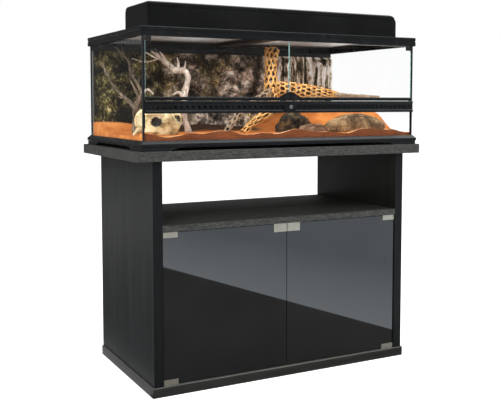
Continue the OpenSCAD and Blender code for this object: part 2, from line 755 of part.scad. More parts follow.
module lock_keeper_left() { lock_keeper(); }
module lock_keeper_right() { mirrored() lock_keeper(); }

// ---------------------------------------------------------------- rim and screen

rim_wall = 2.5;
way_mid = way_z + way_h / 2;
slide_w = way_w + 8; slide_t = 2; slide_half = way_h / 2 + 2.2; slide_travel = 30;
guide_l = slide_w + slide_travel; guide_out = slide_travel / 2;

module top_frame() {
  o = rim_out;
  w = rim_wall;
  color("#3c4044") difference() {
    union() {
      mitred_ring(gx, gy, [
        [o - w, rim_top], [o - 0.8, rim_top], [o, rim_top - 1.5], [o, rim_top - 9], [o - 1.2, rim_top - 10],
        [o - 1.2, rim_top - 12], [o, rim_top - 13], [o, rim_z], [gap, rim_z], [gap, web_z],
        [-pane_t - gap, web_z], [-pane_t - gap, rim_z + 6], [-pane_t - 3, rim_z + 6],
        [-pane_t - 3, web_z], [-rim_in, web_z], [-rim_in, screen_z], [o - w, screen_z]]);
      // deeper back rail, with the cable ways through it
      bar(-gx + pane_t + gap, gx - pane_t - gap, gy + gap, gy + o, back_z, rim_z + 2);
      bar(-gx + pane_t + gap, gx - pane_t - gap, gy - pane_t, gy + gap, back_pane_top + gap, web_z);
      // guides of the slides
      for (sx = [-1, 1], k = [-1, 1]) at(sx * (way_x + guide_out), 0, way_mid) {
        bar(-guide_l / 2, guide_l / 2, gy + o - 1, gy + o + slide_t + 2.2,
          min(k * slide_half, k * (slide_half + 3)) + k * gap,
          max(k * slide_half, k * (slide_half + 3)) + k * gap);
        bar(-guide_l / 2, guide_l / 2, gy + o + slide_t + gap + 0.1, gy + o + slide_t + 2.2,
          min(k * (slide_half - 1.5), k * (slide_half + 1)),
          max(k * (slide_half - 1.5), k * (slide_half + 1)));
      }
      // ribs on the ends of the front rail, over the hinges
      for (sx = [-1, 1], i = [0:3])
        at(sx * (strip_end - 3 - i * 6), -gy - o, rim_z + 2) cylinder(r = 1, h = rim_h - 5);
    }
    // the front rail has no inner wall, because the doors close up to it
    bar(-gx + pane_t + gap, gx - pane_t - gap, -gy - o + w, -gy + pane_t + 3 + gap, rim_z - 1, web_z);
    for (sx = [-1, 1]) at(sx * way_x, 0, way_z) bar(-way_w / 2, way_w / 2, gy - 20, gy + 20, 0, way_h);
  }
}

module cable_slide() {
  y = gy + rim_out + play;
  color("#222") at(-way_x, 0, way_mid) {
    bar(-slide_w / 2, slide_w / 2, y, y + slide_t, -slide_half, slide_half);
    for (i = [-1, 0, 1]) bar(i * 5 - 1, i * 5 + 1, y + slide_t, y + slide_t + 1, -4, 4);
  }
}

module cable_slide_left() { cable_slide(); }
module cable_slide_right() { mirrored() cable_slide(); }

screen_x = gx + rim_out - rim_wall - gap;
screen_y = gy + rim_out - rim_wall - gap;
mesh_t = 1;
mesh_z = screen_z + 2;

module screen_frame() {
  in_x = gx - rim_in;
  in_y = gy - rim_in;
  color("#1f2122") difference() {
    union() {
      bar(-screen_x, screen_x, -screen_y, screen_y, screen_z, rim_top);
      bar(-crossbar_w / 2, crossbar_w / 2, -in_y + gap, in_y - gap, screen_z - 10, screen_z + 1);
    }
    for (sx = [-1, 1]) {
      bar(min(sx * crossbar_w / 2, sx * in_x), max(sx * crossbar_w / 2, sx * in_x),
        -in_y, in_y, screen_z - 1, rim_top + 1);
      // seat of the mesh
      bar(min(sx * (crossbar_w / 2 - 4), sx * (in_x + 4)), max(sx * (crossbar_w / 2 - 4), sx * (in_x + 4)),
        -in_y - 4, in_y + 4, mesh_z, mesh_z + mesh_t);
    }
  }
}

module screen_mesh() {
  in_x = gx - rim_in;
  in_y = gy - rim_in;
  bar(-in_x - 4, -crossbar_w / 2 + 4, -in_y - 4, in_y + 4, mesh_z, mesh_z + mesh_t);
}

module screen_mesh_left() { color("#555", 0.6) screen_mesh(); }
module screen_mesh_right() { color("#555", 0.6) mirrored() screen_mesh(); }

// ---------------------------------------------------------------- canopy light

// front outline of the canopy, [x, z], shrunk by s on every side
module hood_front(s) {
  x1 = hood_x1 + s;
  x2 = hood_x2 - s;
  z1 = hood_z - s;
  z2 = hood_z + hood_h - s;
  r = round_end - s;
  q = sharp_end - s;
  translate([x1, z1]) square([x2 - x1, z2 - r - z1]);
  translate([x1, z1]) square([x2 - r - x1, z2 - q - z1]);
  translate([x1 + q, z1]) square([x2 - r - x1 - q, z2 - z1]);
  translate([x2 - r, z2 - r]) circle(r);
  translate([x1 + q, z2 - q]) circle(q);
}

// end outline of the canopy, [y, z], shrunk by s on every side, as solids along X
module hood_end(s) {
  y1 = hood_y1 + s;
  y2 = hood_y2 - s;
  z1 = hood_z - s;
  z2 = hood_z + hood_h - s;
  r = round_back - s;
  b = lip_in - s / 2;
  along_x(hood_x1 - 1, hood_x2 + 1, [[y1, z1], [y1, z2 - b], [y1 + b, z2], [y2 - r, z2], [y2 - r, z1]]);
  bar(hood_x1 - 1, hood_x2 + 1, y1 + r, y2, z1, z2 - r);
  at(hood_x1 - 1, y2 - r, z2 - r) rotate([0, 90, 0]) cylinder(r = r, h = hood_l + 2);
}

module hood_solid(s) {
  intersection() {
    translate([0, hood_y2 + 1, 0]) rotate([90, 0, 0]) linear_extrude(hood_d + 2) hood_front(s);
    hood_end(s);
  }
}

louvre_n = 9;
module hood_shell() {
  color("#1b1c1c") difference() {
    hood_solid(0);
    hood_solid(hood_t);
    // groove under the lip along the front
    along_x(hood_x1 - 1, hood_x2 + 1, [[hood_y1 - 1, hood_z + lip_z - 3], [hood_y1, hood_z + lip_z - 3],
      [hood_y1 + 1.6, hood_z + lip_z - 1.5], [hood_y1 + 1.6, hood_z + lip_z], [hood_y1 - 1, hood_z + lip_z]]);
    // louvres low on the back, by the ballast
    for (i = [0:louvre_n - 1])
      at(hood_x0 - 60 + i * 15, hood_y2 - hood_t - 2, hood_z + 40) bar(-2.5, 2.5, 0, 8, 0, 14);
    at(switch_x, hood_y2 - hood_t - 3, switch_z)
      bar(-switch_w / 2 - gap, switch_w / 2 + gap, 0, 10, -switch_h / 2 - gap, switch_h / 2 + gap);
    at(gland_x, hood_y2 - hood_t - 3, switch_z) rotate([-90, 0, 0]) cylinder(r = gland_r - 2.5, h = 10);
  }
}

// bent sheet: [y, z] of its lower face from the front edge to the back edge
function gull(y0) = [[-y0, 6], [-y0 + 14, 6], [-64, sheet_z], [-16, sheet_z], [0, sheet_z - 12],
  [16, sheet_z], [64, sheet_z], [y0 - 14, 6], [y0, 6]];

module hood_reflector() {
  low = gull(hood_d / 2 - hood_t - gap);
  n = len(low);
  color("#d9dce0")
    along_x(hood_x1 + hood_t + gap, hood_x2 - hood_t - gap,
      [for (k = [0:2 * n - 1]) k < n ? [hood_y0 + low[k][0], hood_z + low[k][1]]
        : [hood_y0 + low[2 * n - 1 - k][0], hood_z + low[2 * n - 1 - k][1] + sheet_t]]);
}

module lamp_tubes() {
  color("#f4f2ea") for (s = [-1, 1]) at(hood_x0 - tube_l / 2, hood_y0 + s * tube_y, tube_z) rotate([0, 90, 0])
    cylinder(r = tube_r, h = tube_l);
}

// four sockets that hang under the flats of the reflector
module lamp_sockets() {
  color("#e8e6df") for (s = [-1, 1], e = [-1, 1]) {
    x = hood_x0 + e * (tube_l + socket_l) / 2;
    y = hood_y0 + s * tube_y;
    bar(x - socket_l / 2, x + socket_l / 2, y - socket_w / 2, y + socket_w / 2, tube_z - socket_drop,
      hood_z + sheet_z);
  }
}

module hood_ballast() {
  color("#c9cccf") bar(hood_x0 - ballast_l / 2, hood_x0 + ballast_l / 2, hood_y0 - ballast_w / 2,
    hood_y0 + ballast_w / 2, hood_z + hood_h - hood_t - ballast_h, hood_z + hood_h - hood_t);
}

module switch_housing() {
  y1 = hood_y2 - hood_t - switch_deep;
  w = switch_w / 2;
  h = switch_h / 2;
  color("#111") at(switch_x, 0, switch_z) difference() {
    union() {
      bar(-w, w, y1, hood_y2, -h, h);
      bar(-w - 2, w + 2, hood_y2, hood_y2 + 1.2, -h - 2, h + 2);
    }
    bar(-w + 2, w - 2, y1 + 6, hood_y2 + 2, -h + 1.2, h - 1.2);
    at(-w + 0.8, hood_y2 - 5, 0) rotate([0, 90, 0]) cylinder(r = 1.2 + play, h = 2 * w - 1.6);
  }
}

// rocker on a cross pin, tilted at rest
module switch_rocker() {
  color("#c02a20") at(switch_x, hood_y2 - 5, switch_z) rotate([rocker_tilt, 0, 0]) {
    along_x(-switch_w / 2 + 2.5, switch_w / 2 - 2.5,
      [[-3, -2], [3.6, -4.2], [5.2, -4.2], [4.2, 0], [5.2, 4.2], [3.6, 4.2], [-3, 2]]);
    translate([-switch_w / 2 + 1, 0, 0]) rotate([0, 90, 0]) cylinder(r = 1.2, h = switch_w - 2);
  }
}

module hood_cable_gland() {
  color("#111") at(gland_x, hood_y2 - hood_t - 4, switch_z) rotate([-90, 0, 0]) difference() {
    union() {
      cylinder(r = gland_r - 2.5 - play, h = hood_t + 6);
      at(0, 0, hood_t + 4) cylinder(r = gland_r, h = 3);
      at(0, 0, hood_t + 7) cylinder(r1 = gland_r - 1.5, r2 = gland_bore + 1.4, h = gland_len - 10);
      cylinder(r = gland_r - 1, h = 4 - gap);
    }
    at(0, 0, -1) cylinder(r = gland_bore, h = gland_len + 10);
  }
}

// ---------------------------------------------------------------- furnishing

inner_x = gx - pane_t - gap;
inner_y = gy - pane_t - gap;
bed_y = inner_y - rock_t - gap;           // back edge of the sand
bed_d = inner_y + bed_y;
bed_y0 = (bed_y - inner_y) / 2;
level = sand_z + sand_h;                  // top of the level sand, which the pieces stand on

dune_h = 60;                              // dune above the level sand
dune_foot = -inner_y + 70;                // where it starts on the right pane

function step01(t) = let (k = max(0, min(1, t))) k * k * (3 - 2 * k);

// height of the sand above the floor pane: wavelets along the front, a bank at the back and a dune
// that leans on the right pane
function sand_at(x, y) = let (
    front = step01((-inner_y + 46 - y) / 40),
    back = step01((y - 60) / 90),
    left = step01((-250 - x) / 120) * step01((y - 80) / 110),
    dune = step01((y - dune_foot - (inner_x - x) * 0.55) / 125) * step01((x - 0.2 * inner_x) / 160))
  sand_h + front * (6 + 5 * sin(x * 1.35 + 40) + 3 * sin(x * 3.1))
    + back * (1 - dune) * (14 + 5 * sin(x * 1.1) * cos(y * 0.9)) + 12 * left + dune_h * dune;

module sand_bed() {
  color("#c8622c") translate([0, bed_y0, sand_z])
    relief(2 * inner_x, bed_d, 44, 24, function(x, y) sand_at(x, y + bed_y0));
}

rock_h = back_pane_top - sand_z - 14;

// thickness of the rock background at a place on it: strata and bosses above a flat foot
function rock_at(x, z) = let (
    free = step01((z + rock_h / 2 - sand_h - dune_h - 10) / 30) * step01((rock_h / 2 - z) / 12)
      * step01((inner_x - abs(x)) / 14),
    a = sin(x * 1.9 + 30 * sin(z * 1.7)),
    b = sin(x * 4.3 + z * 2.1) * cos(z * 3.7),
    c = sin(x * 0.77 + 90))
  rock_t + free * max(0, 9 + 8 * a + 5 * b + 8 * c);

module rock_background() {
  color("#5a4a40") translate([0, inner_y, sand_z + rock_h / 2]) rotate([90, 0, 0])
    relief(2 * (inner_x - seal), rock_h, 56, 15, function(x, z) rock_at(x, z));
}

// skull lying on its jaw and facing the front, with open cheek arches
module skull_ornament() {
  color("#e6dcc0") translate([-352, -104, level]) difference() {
    union() {
      // cranium and brow
      hull() {
        translate([-36, 10, 48]) sphere(28, $fn = 20);
        translate([22, 6, 50]) sphere(27, $fn = 20);
        translate([-28, 4, 8]) cylinder(r = 26, h = 8, $fn = 20);
        translate([22, 2, 8]) cylinder(r = 24, h = 8, $fn = 20);
      }
      // face and upper jaw
      hull() {
        translate([20, -8, 46]) sphere(20, $fn = 16);
        translate([46, -12, 24]) sphere(13, $fn = 16);
        translate([38, -10, 6]) sphere(9, $fn = 16);
        translate([0, -8, 10]) sphere(14, $fn = 16);
      }
      // brow ridge over the eye
      limb([[-46, -14, 58, 6], [-30, -24, 63, 6], [-10, -24, 63, 6], [6, -18, 56, 6]], 10);
      // teeth under the jaw
      for (k = [0:4]) translate([-30 + 17 * k, -12 + 2 * (k % 2), 0])
        cylinder(r1 = 2.6, r2 = 6, h = 14, $fn = 8);
      // cheek arches, each around its own opening
      limb([[-48, -10, 66, 5], [-66, -16, 62, 3.6], [-75, -18, 46, 3.2], [-71, -14, 28, 3.6],
        [-50, -6, 20, 6]], 8);
      limb([[40, -8, 60, 5], [58, -12, 58, 3.6], [64, -14, 42, 3.4], [58, -12, 28, 4], [40, -8, 18, 6]], 8);
      // jaw hinges down to the sand
      limb([[-56, -8, 24, 6], [-70, -14, 12, 4.5], [-80, -18, 3.4, 3]], 8);
      limb([[44, -10, 16, 5], [50, -14, 3.4, 3]], 8);
    }
    // eye socket, nose and the hollow under the brow
    translate([-16, -30, 38]) scale(1) sphere(16, $fn = 20);
    translate([-30, -26, 34]) sphere(8, $fn = 12);
    translate([-2, -30, 33]) sphere(8, $fn = 12);
    translate([50, -26, 30]) sphere(6, $fn = 12);
    translate([-60, -60, -20]) cube([120, 120, 20]);
  }
}

// forked dead branches in the left corner, and a bleached one that leans over beside them
module driftwood_branches() {
  sides = 7;
  color("#8d7a62") {
    // stump and its two long twigs
    rooted_limb([[-372, 32, level, 11], [-371, 34, 760, 9], [-371, 30, 792, 9], [-366, 28, 812, 7]], sides);
    limb([[-371, 30, 790, 7], [-382, 42, 806, 6], [-395, 70, 826, 4.5], [-412, 98, 852, 4],
      [-426, 120, 886, 3.4], [-433, 132, 912, 2.8], [-436, 142, 938, 2.2]], sides);
    limb([[-426, 120, 886, 2.6], [-424, 124, 904, 2.2]], sides);
    limb([[-366, 28, 812, 6], [-354, 28, 838, 5], [-359, 48, 864, 4.4], [-369, 70, 896, 4],
      [-372, 90, 934, 3.6], [-387, 108, 957, 3], [-400, 124, 978, 2.4]], sides);
    limb([[-359, 26, 822, 5], [-371, 50, 858, 3.6], [-379, 66, 882, 2.4]], sides);
    limb([[-354, 28, 838, 4.4], [-342, 12, 846, 4.4], [-326, 2, 832, 3]], sides);
    // bleached branch
    rooted_limb([[-203, 20, level, 10], [-216, 20, 752, 8], [-223, 22, 786, 8.5], [-217, 30, 831, 10],
      [-208, 35, 860, 9.5], [-201, 40, 888, 8.5], [-212, 45, 905, 9.5], [-235, 50, 905, 9.5],
      [-259, 55, 923, 8], [-284, 60, 947, 6.5], [-312, 61, 964, 3.4]], sides);
    limb([[-280, 60, 944, 5], [-300, 64, 946, 3.2], [-326, 68, 960, 2.4]], sides);
    limb([[-268, 56, 932, 4.5], [-286, 52, 962, 2.6]], sides);
    limb([[-230, 50, 908, 6], [-228, 50, 926, 4.4], [-232, 50, 946, 2.2]], sides);
    limb([[-212, 44, 905, 4], [-204, 48, 936, 2.2]], sides);
    limb([[-219, 28, 826, 7], [-238, 24, 838, 5], [-258, 20, 830, 3.4]], sides);
    // side twig
    limb([[-280, 60, 944, 3], [-296, 62, 938, 2.4], [-327, 80, 932, 2.2], [-362, 90, 944, 2.2]], sides);
  }
}

// cactus wood: two props, a hollow stem standing on them and one lying out to the right
module cholla_wood() {
  sides = 9;
  color("#c98f4a") {
    rooted_limb([[-132, -80, level, 9], [-98, -64, 748, 10], [-63, -50, 777, 11], [-20, -32, 802, 11],
      [40, -4, 828, 13], [84, 24, 846, 17]], sides);
    rooted_limb([[-66, -70, level, 11], [-34, -56, 738, 12], [0, -40, 755, 14], [52, -22, 780, 14],
      [76, 2, 816, 16], [88, 24, 850, 17]], sides);
    limb([[84, 24, 846, 17], [120, 12, 852, 16]], sides);
    net_stem([[86, 26, 838, 22], [92, 38, 880, 22], [96, 45, 915, 21], [100, 52, 950, 22],
      [108, 60, 982, 24]], [1, 0, 0], 9, 4);
    net_stem([[96, 24, 852, 27], [140, 8, 850, 27], [191, -10, 845, 24], [240, -32, 839, 19],
      [290, -52, 833, 12]], [0, 0, 1], 12, 4);
    limb([[276, -46, 835, 12], [300, -57, 832, 9], [346, -72, 830, 6], [424, -98, 827, 4.4]], sides);
  }
}

module dark_rock() {
  color("#5c5548") translate([98, -96, level])
    lump(70, 34, 52, 18, 12, function(a, e)
      0.82 + 0.10 * sin(2 * a + 40) + 0.08 * sin(3 * a + 5 * e) + 0.05 * sin(7 * a) * cos(2 * e));
}

module smooth_stone() {
  color("#a4906c") translate([284, -144, level]) rotate([0, 0, -9])
    lump(116, 34, 44, 22, 12, function(a, e)
      0.92 + 0.06 * sin(a + 60) + 0.05 * cos(3 * a) * cos(e) + 0.02 * sin(6 * a + 3 * e));
}

module driftwood_piece() {
  color("#a08b72") translate([124, -165, level]) rotate([0, 0, 2])
    lump(62, 14, 24, 20, 10, function(a, e)
      0.80 + 0.14 * sin(3 * a + 60) * cos(e) + 0.06 * sin(7 * a));
}

cabinet_base();
cabinet_side_left();
cabinet_side_right();
cabinet_top();
cabinet_shelf();
cabinet_back_panel();
cabinet_screws();
cabinet_dowels();
pivot_bushes();
cabinet_door_left();
cabinet_door_right();
pivot_clips_left();
pivot_clips_right();
strike_plate_left();
strike_plate_right();
push_latch_body();
latch_plunger_left();
latch_plunger_right();
bottom_frame();
glass_floor();
glass_left();
glass_right();
glass_back();
glass_front();
corner_seals();
vent_strip();
hinge_blocks();
hinge_pins();
top_frame();
cable_slide_left();
cable_slide_right();
screen_frame();
screen_mesh_left();
screen_mesh_right();
terrarium_door_left();
terrarium_door_right();
door_rail_left();
door_rail_right();
door_clip_left();
door_clip_right();
lock_keeper_left();
lock_keeper_right();
lock_barrel();
lock_cam();
hood_shell();
hood_reflector();
lamp_tubes();
lamp_sockets();
hood_ballast();
switch_housing();
switch_rocker();
hood_cable_gland();
sand_bed();
rock_background();
skull_ornament();
driftwood_branches();
cholla_wood();
dark_rock();
smooth_stone();
driftwood_piece();
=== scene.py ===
import math
import random

import bmesh
import bpy
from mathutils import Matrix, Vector, noise


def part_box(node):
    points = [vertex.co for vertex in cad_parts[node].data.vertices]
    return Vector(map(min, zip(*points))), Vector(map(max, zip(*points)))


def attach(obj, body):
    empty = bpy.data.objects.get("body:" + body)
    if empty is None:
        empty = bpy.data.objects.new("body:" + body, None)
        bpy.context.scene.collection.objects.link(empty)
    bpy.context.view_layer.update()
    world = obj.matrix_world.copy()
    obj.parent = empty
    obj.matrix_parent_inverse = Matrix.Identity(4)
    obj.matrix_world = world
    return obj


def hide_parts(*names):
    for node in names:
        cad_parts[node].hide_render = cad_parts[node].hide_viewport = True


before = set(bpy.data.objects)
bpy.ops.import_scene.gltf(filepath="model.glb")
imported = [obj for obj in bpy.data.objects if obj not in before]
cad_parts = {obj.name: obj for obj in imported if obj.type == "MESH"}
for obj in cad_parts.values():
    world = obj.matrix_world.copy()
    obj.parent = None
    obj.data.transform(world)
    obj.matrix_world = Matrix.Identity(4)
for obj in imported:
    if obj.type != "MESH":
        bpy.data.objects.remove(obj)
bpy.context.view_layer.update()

ROOT = "tank_and_cabinet"
MM = 0.001

# The sand reaches the panes at the front and the sides. Half the width and half the depth inside of
# them, the back end of the sand and its floor, to a tenth of a millimetre
SAND_LO, SAND_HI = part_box("sand_bed")
INNER_X, INNER_Y, BED_Y, SAND_Z = [round(c, 4) for c in (SAND_HI.x, -SAND_LO.y, SAND_HI.y, SAND_LO.z)]
# Heights of the bed of sand, its banks and its dune, in millimetres
BED_H, FRONT_BANK_H, BACK_BANK_H, LEFT_BANK_H, DUNE_H = 20, 6, 14, 12, 60
# Thickness of the rock background at its flat foot, in millimetres
ROCK_T = 14

# ------------------------------------------------------------------ shader helpers


def rgba(colour):
    return (*colour, 1)


class Nodes:
    """Builds one material's node tree."""

    def __init__(self, name):
        self.mat = bpy.data.materials.new(name)
        self.mat.use_nodes = True
        self.nt = self.mat.node_tree
        self.nt.nodes.clear()
        self.out = self.nt.nodes.new("ShaderNodeOutputMaterial")
        self.bsdf = self.nt.nodes.new("ShaderNodeBsdfPrincipled")
        self.link(self.bsdf.outputs[0], self.out.inputs["Surface"])
        self.coord = self.nt.nodes.new("ShaderNodeTexCoord")

    def link(self, a, b):
        self.nt.links.new(a, b)

    def put(self, socket, value):
        """Links a socket to another one, or sets it to a plain value."""
        if isinstance(value, bpy.types.NodeSocket):
            self.link(value, socket)
        else:
            socket.default_value = value

    def set(self, **values):
        """Sets inputs of the Principled shader by name, with _ for a space."""
        for key, value in values.items():
            self.put(self.bsdf.inputs[key.replace("_", " ")], value)

    def vec(self, scale, shift=(0, 0, 0), turn=(0, 0, 0)):
        """The object's own coordinates, stretched, shifted and turned."""
        n = self.nt.nodes.new("ShaderNodeMapping")
        self.link(self.coord.outputs["Object"], n.inputs["Vector"])
        n.inputs["Scale"].default_value = scale
        n.inputs["Location"].default_value = shift
        n.inputs["Rotation"].default_value = turn
        return n.outputs[0]

    def noise(self, scale, detail=4, rough=0.55, vec=None, distort=0.0):
        n = self.nt.nodes.new("ShaderNodeTexNoise")
        self.link(vec or self.coord.outputs["Object"], n.inputs["Vector"])
        n.inputs["Scale"].default_value = scale
        n.inputs["Detail"].default_value = detail
        n.inputs["Roughness"].default_value = rough
        n.inputs["Distortion"].default_value = distort
        return n.outputs["Fac"]

    def voronoi(self, scale, vec=None, feature="F1"):
        n = self.nt.nodes.new("ShaderNodeTexVoronoi")
        n.feature = feature
        self.link(vec or self.coord.outputs["Object"], n.inputs["Vector"])
        n.inputs["Scale"].default_value = scale
        return n.outputs["Distance"]

    def ramp(self, fac, *stops):
        """Colour ramp through stops of (position, colour)."""
        n = self.nt.nodes.new("ShaderNodeValToRGB")
        self.put(n.inputs[0], fac)
        elements = n.color_ramp.elements
        for k, (position, colour) in enumerate(stops):
            e = elements[k] if k < 2 else elements.new(position)
            e.position = position
            e.color = rgba(colour)
        return n.outputs["Color"]

    def grey(self, fac, *stops):
        """Ramp through stops of (position, value)."""
        return self.ramp(fac, *[(position, (v, v, v)) for position, v in stops])

    def math(self, operation, a, b=0.0):
        n = self.nt.nodes.new("ShaderNodeMath")
        n.operation = operation
        self.put(n.inputs[0], a)
        self.put(n.inputs[1], b)
        return n.outputs[0]

    def weighted(self, a, share_a, b, share_b):
        """Sum of two values, each times its share."""
        return self.math("ADD", self.math("MULTIPLY", a, share_a), self.math("MULTIPLY", b, share_b))

    def around_zero(self, value, width):
        """A noise value from 0 to 1, moved to lie on both sides of zero and scaled."""
        return self.math("MULTIPLY", self.math("SUBTRACT", value, 0.5), width)

    def between(self, value, start, end):
        """0 up to start, 1 from end on."""
        n = self.nt.nodes.new("ShaderNodeMapRange")
        self.link(value, n.inputs[0])
        n.inputs[1].default_value = start
        n.inputs[2].default_value = end
        return n.outputs[0]

    def mix(self, fac, a, b, blend="MIX"):
        n = self.nt.nodes.new("ShaderNodeMix")
        n.data_type = "RGBA"
        n.blend_type = blend
        self.put(n.inputs["Factor"], fac)
        for name, value in (("A", a), ("B", b)):
            socket = [i for i in n.inputs if i.name == name and i.type == "RGBA"][0]
            self.put(socket, value if isinstance(value, bpy.types.NodeSocket) else rgba(value))
        return [o for o in n.outputs if o.type == "RGBA"][0]

    def axis(self, which, source="Object"):
        """One axis of the object's coordinates or of its surface normal."""
        n = self.nt.nodes.new("ShaderNodeSeparateXYZ")
        self.link(self.coord.outputs[source], n.inputs[0])
        return n.outputs[which]

    def bump(self, height, strength=0.3, distance=0.001, under=None):
        n = self.nt.nodes.new("ShaderNodeBump")
        self.put(n.inputs["Height"], height)
        n.inputs["Strength"].default_value = strength
        n.inputs["Distance"].default_value = distance
        if under is not None:
            self.link(under, n.inputs["Normal"])
        return n.outputs[0]

    def clear_for_lamps(self, tint):
        """Lets the light of lamps through."""
        path = self.nt.nodes.new("ShaderNodeLightPath")
        clear = self.nt.nodes.new("ShaderNodeBsdfTransparent")
        clear.inputs[0].default_value = rgba(tint)
        mix = self.nt.nodes.new("ShaderNodeMixShader")
        self.link(path.outputs["Is Shadow Ray"], mix.inputs[0])
        self.link(self.bsdf.outputs[0], mix.inputs[1])
        self.link(clear.outputs[0], mix.inputs[2])
        self.link(mix.outputs[0], self.out.inputs["Surface"])


# ------------------------------------------------------------------ materials


def laminate(name, dark, light, grain, rough=0.5, strength=0.35,
             edge=None, niche_shade=None, top=None, specular=0.2):
    """Embossed ash-grain laminate. Front and back edges (edge) may have tones of their own. The right panel's
    face towards the niche gets a painted shade, and what lies above a height (top) a painted highlight."""
    m = Nodes(name)
    along = {"X": (12, 400, 400), "Z": (400, 400, 12)}[grain]
    broad = {"X": (1.2, 60, 60), "Z": (60, 60, 1.2)}[grain]
    fine = m.noise(1.0, 5, 0.62, m.vec(along))
    wide = m.noise(1.0, 3, 0.5, m.vec(broad), 0.6)
    pores = m.noise(1.0, 2, 0.7, m.vec(tuple(v * 3.2 for v in along)))
    tone = m.weighted(fine, 0.62, wide, 0.38)
    colour = m.ramp(tone, (0.38, dark), (0.62, light))
    if edge:
        band = m.math("GREATER_THAN", m.math("ABSOLUTE", m.axis("Y", "Normal")), 0.9)
        fibre = m.noise(1.0, 6, 0.8, m.vec((70, 420, 420) if grain == "X" else along), 0.6)
        colour = m.mix(band, colour, m.ramp(fibre, (0.42, edge[0]), (0.62, edge[1])))
    # Painted shade: the right panel's face towards the niche gets darker tones
    if niche_shade:
        faces_left = m.math("LESS_THAN", m.axis("X", "Normal"), -0.9)
        on_the_right = m.math("GREATER_THAN", m.axis("X"), 0)
        inside = m.math("MULTIPLY", faces_left, on_the_right)
        colour = m.mix(inside, colour, m.ramp(tone, (0.40, niche_shade[0]), (0.60, niche_shade[1])))
    # Painted highlight: lighter tones above a height
    if top:
        above = m.math("GREATER_THAN", m.axis("Z"), top[0])
        colour = m.mix(above, colour, m.ramp(tone, (0.40, top[1]), (0.60, top[2])))
    m.set(Base_Color=colour,
          Roughness=m.grey(fine, (0.35, rough - 0.08), (0.7, rough + 0.12)),
          Normal=m.bump(m.math("ADD", fine, m.math("MULTIPLY", pores, 0.5)), strength, 0.0006),
          Specular_IOR_Level=specular)
    return m.mat


def plastic(name, colour, rough=0.38, grain=0.12, wear=0.03, specular=0.25):
    """Moulded plastic with a fine spark-eroded grain and a faint unevenness of shine."""
    m = Nodes(name)
    fine = m.noise(1400, 2, 0.6)
    cloud = m.noise(9, 4, 0.6)
    scuff = m.noise(1.0, 3, 0.7, m.vec((25, 300, 300)))
    lighter = tuple(min(1, c * 1.25 + wear * 0.08) for c in colour)
    uneven = m.weighted(cloud, 0.85, scuff, 0.15)
    m.set(Base_Color=m.ramp(uneven, (0.35, colour), (0.7, lighter)),
          Roughness=m.grey(uneven, (0.3, rough - 0.03), (0.7, rough + 0.06)),
          Normal=m.bump(fine, grain, 0.0003),
          Specular_IOR_Level=specular)
    return m.mat


def metal(name, colour, rough):
    """Satin metal brushed along X."""
    m = Nodes(name)
    lines = m.noise(1.0, 3, 0.6, m.vec((40, 1800, 1800)))
    cloud = m.noise(60, 3, 0.5)
    m.set(Base_Color=m.ramp(cloud, (0.3, tuple(c * 0.88 for c in colour)), (0.7, colour)),
          Roughness=m.grey(lines, (0.3, rough - 0.08), (0.7, rough + 0.12)),
          Normal=m.bump(lines, 0.08, 0.0002),
          Metallic=1.0)
    return m.mat


def clear_glass(name):
    """Clear glass that mirrors less than real float glass, since the whole studio around it is white."""
    m = Nodes(name)
    m.set(Base_Color=rgba((0.995, 1.0, 0.998)), Transmission_Weight=1.0, IOR=1.14, Roughness=0.0)
    m.clear_for_lamps((0.99, 1.0, 0.995))
    return m.mat


def glass_edge(name):
    """Ground edge of a pane, pale blue-green."""
    m = Nodes(name)
    tone = m.noise(300, 2, 0.5)
    m.set(Base_Color=m.ramp(tone, (0.3, (0.26, 0.47, 0.47)), (0.7, (0.42, 0.64, 0.63))),
          Roughness=m.grey(tone, (0.3, 0.2), (0.7, 0.35)),
          Normal=m.bump(tone, 0.1, 0.0003))
    return m.mat


def smoked_glass(name):
    """Dark tinted glass, so deep in colour that it shows only what it mirrors."""
    m = Nodes(name)
    smear = m.noise(5, 4, 0.6)
    m.set(Base_Color=m.ramp(smear, (0.3, (0.006, 0.006, 0.006)), (0.7, (0.010, 0.010, 0.0105))),
          Roughness=m.grey(smear, (0.4, 0.015), (0.8, 0.04)),
          IOR=1.52,
          Specular_IOR_Level=0.9)
    return m.mat


def screen_mesh(name):
    """Woven wire. Half of a wire's share of the spacing lies on each side of a spacing's end."""
    spacing = 0.0013
    wire_from = 0.31
    m = Nodes(name)
    wires = []
    for axis in ("X", "Y"):
        saw = m.math("FRACT", m.math("MULTIPLY", m.axis(axis), 1 / spacing))
        off = m.math("ABSOLUTE", m.math("SUBTRACT", saw, 0.5))
        wires.append(m.math("GREATER_THAN", off, wire_from))
    tone = m.noise(220, 3, 0.6)
    m.set(Base_Color=m.ramp(tone, (0.3, (0.30, 0.27, 0.23)), (0.7, (0.46, 0.42, 0.36))),
          Roughness=m.grey(tone, (0.3, 0.35), (0.7, 0.55)),
          Alpha=m.math("MAXIMUM", wires[0], wires[1]),
          Normal=m.bump(tone, 0.1, 0.0003),
          Metallic=0.6)
    return m.mat


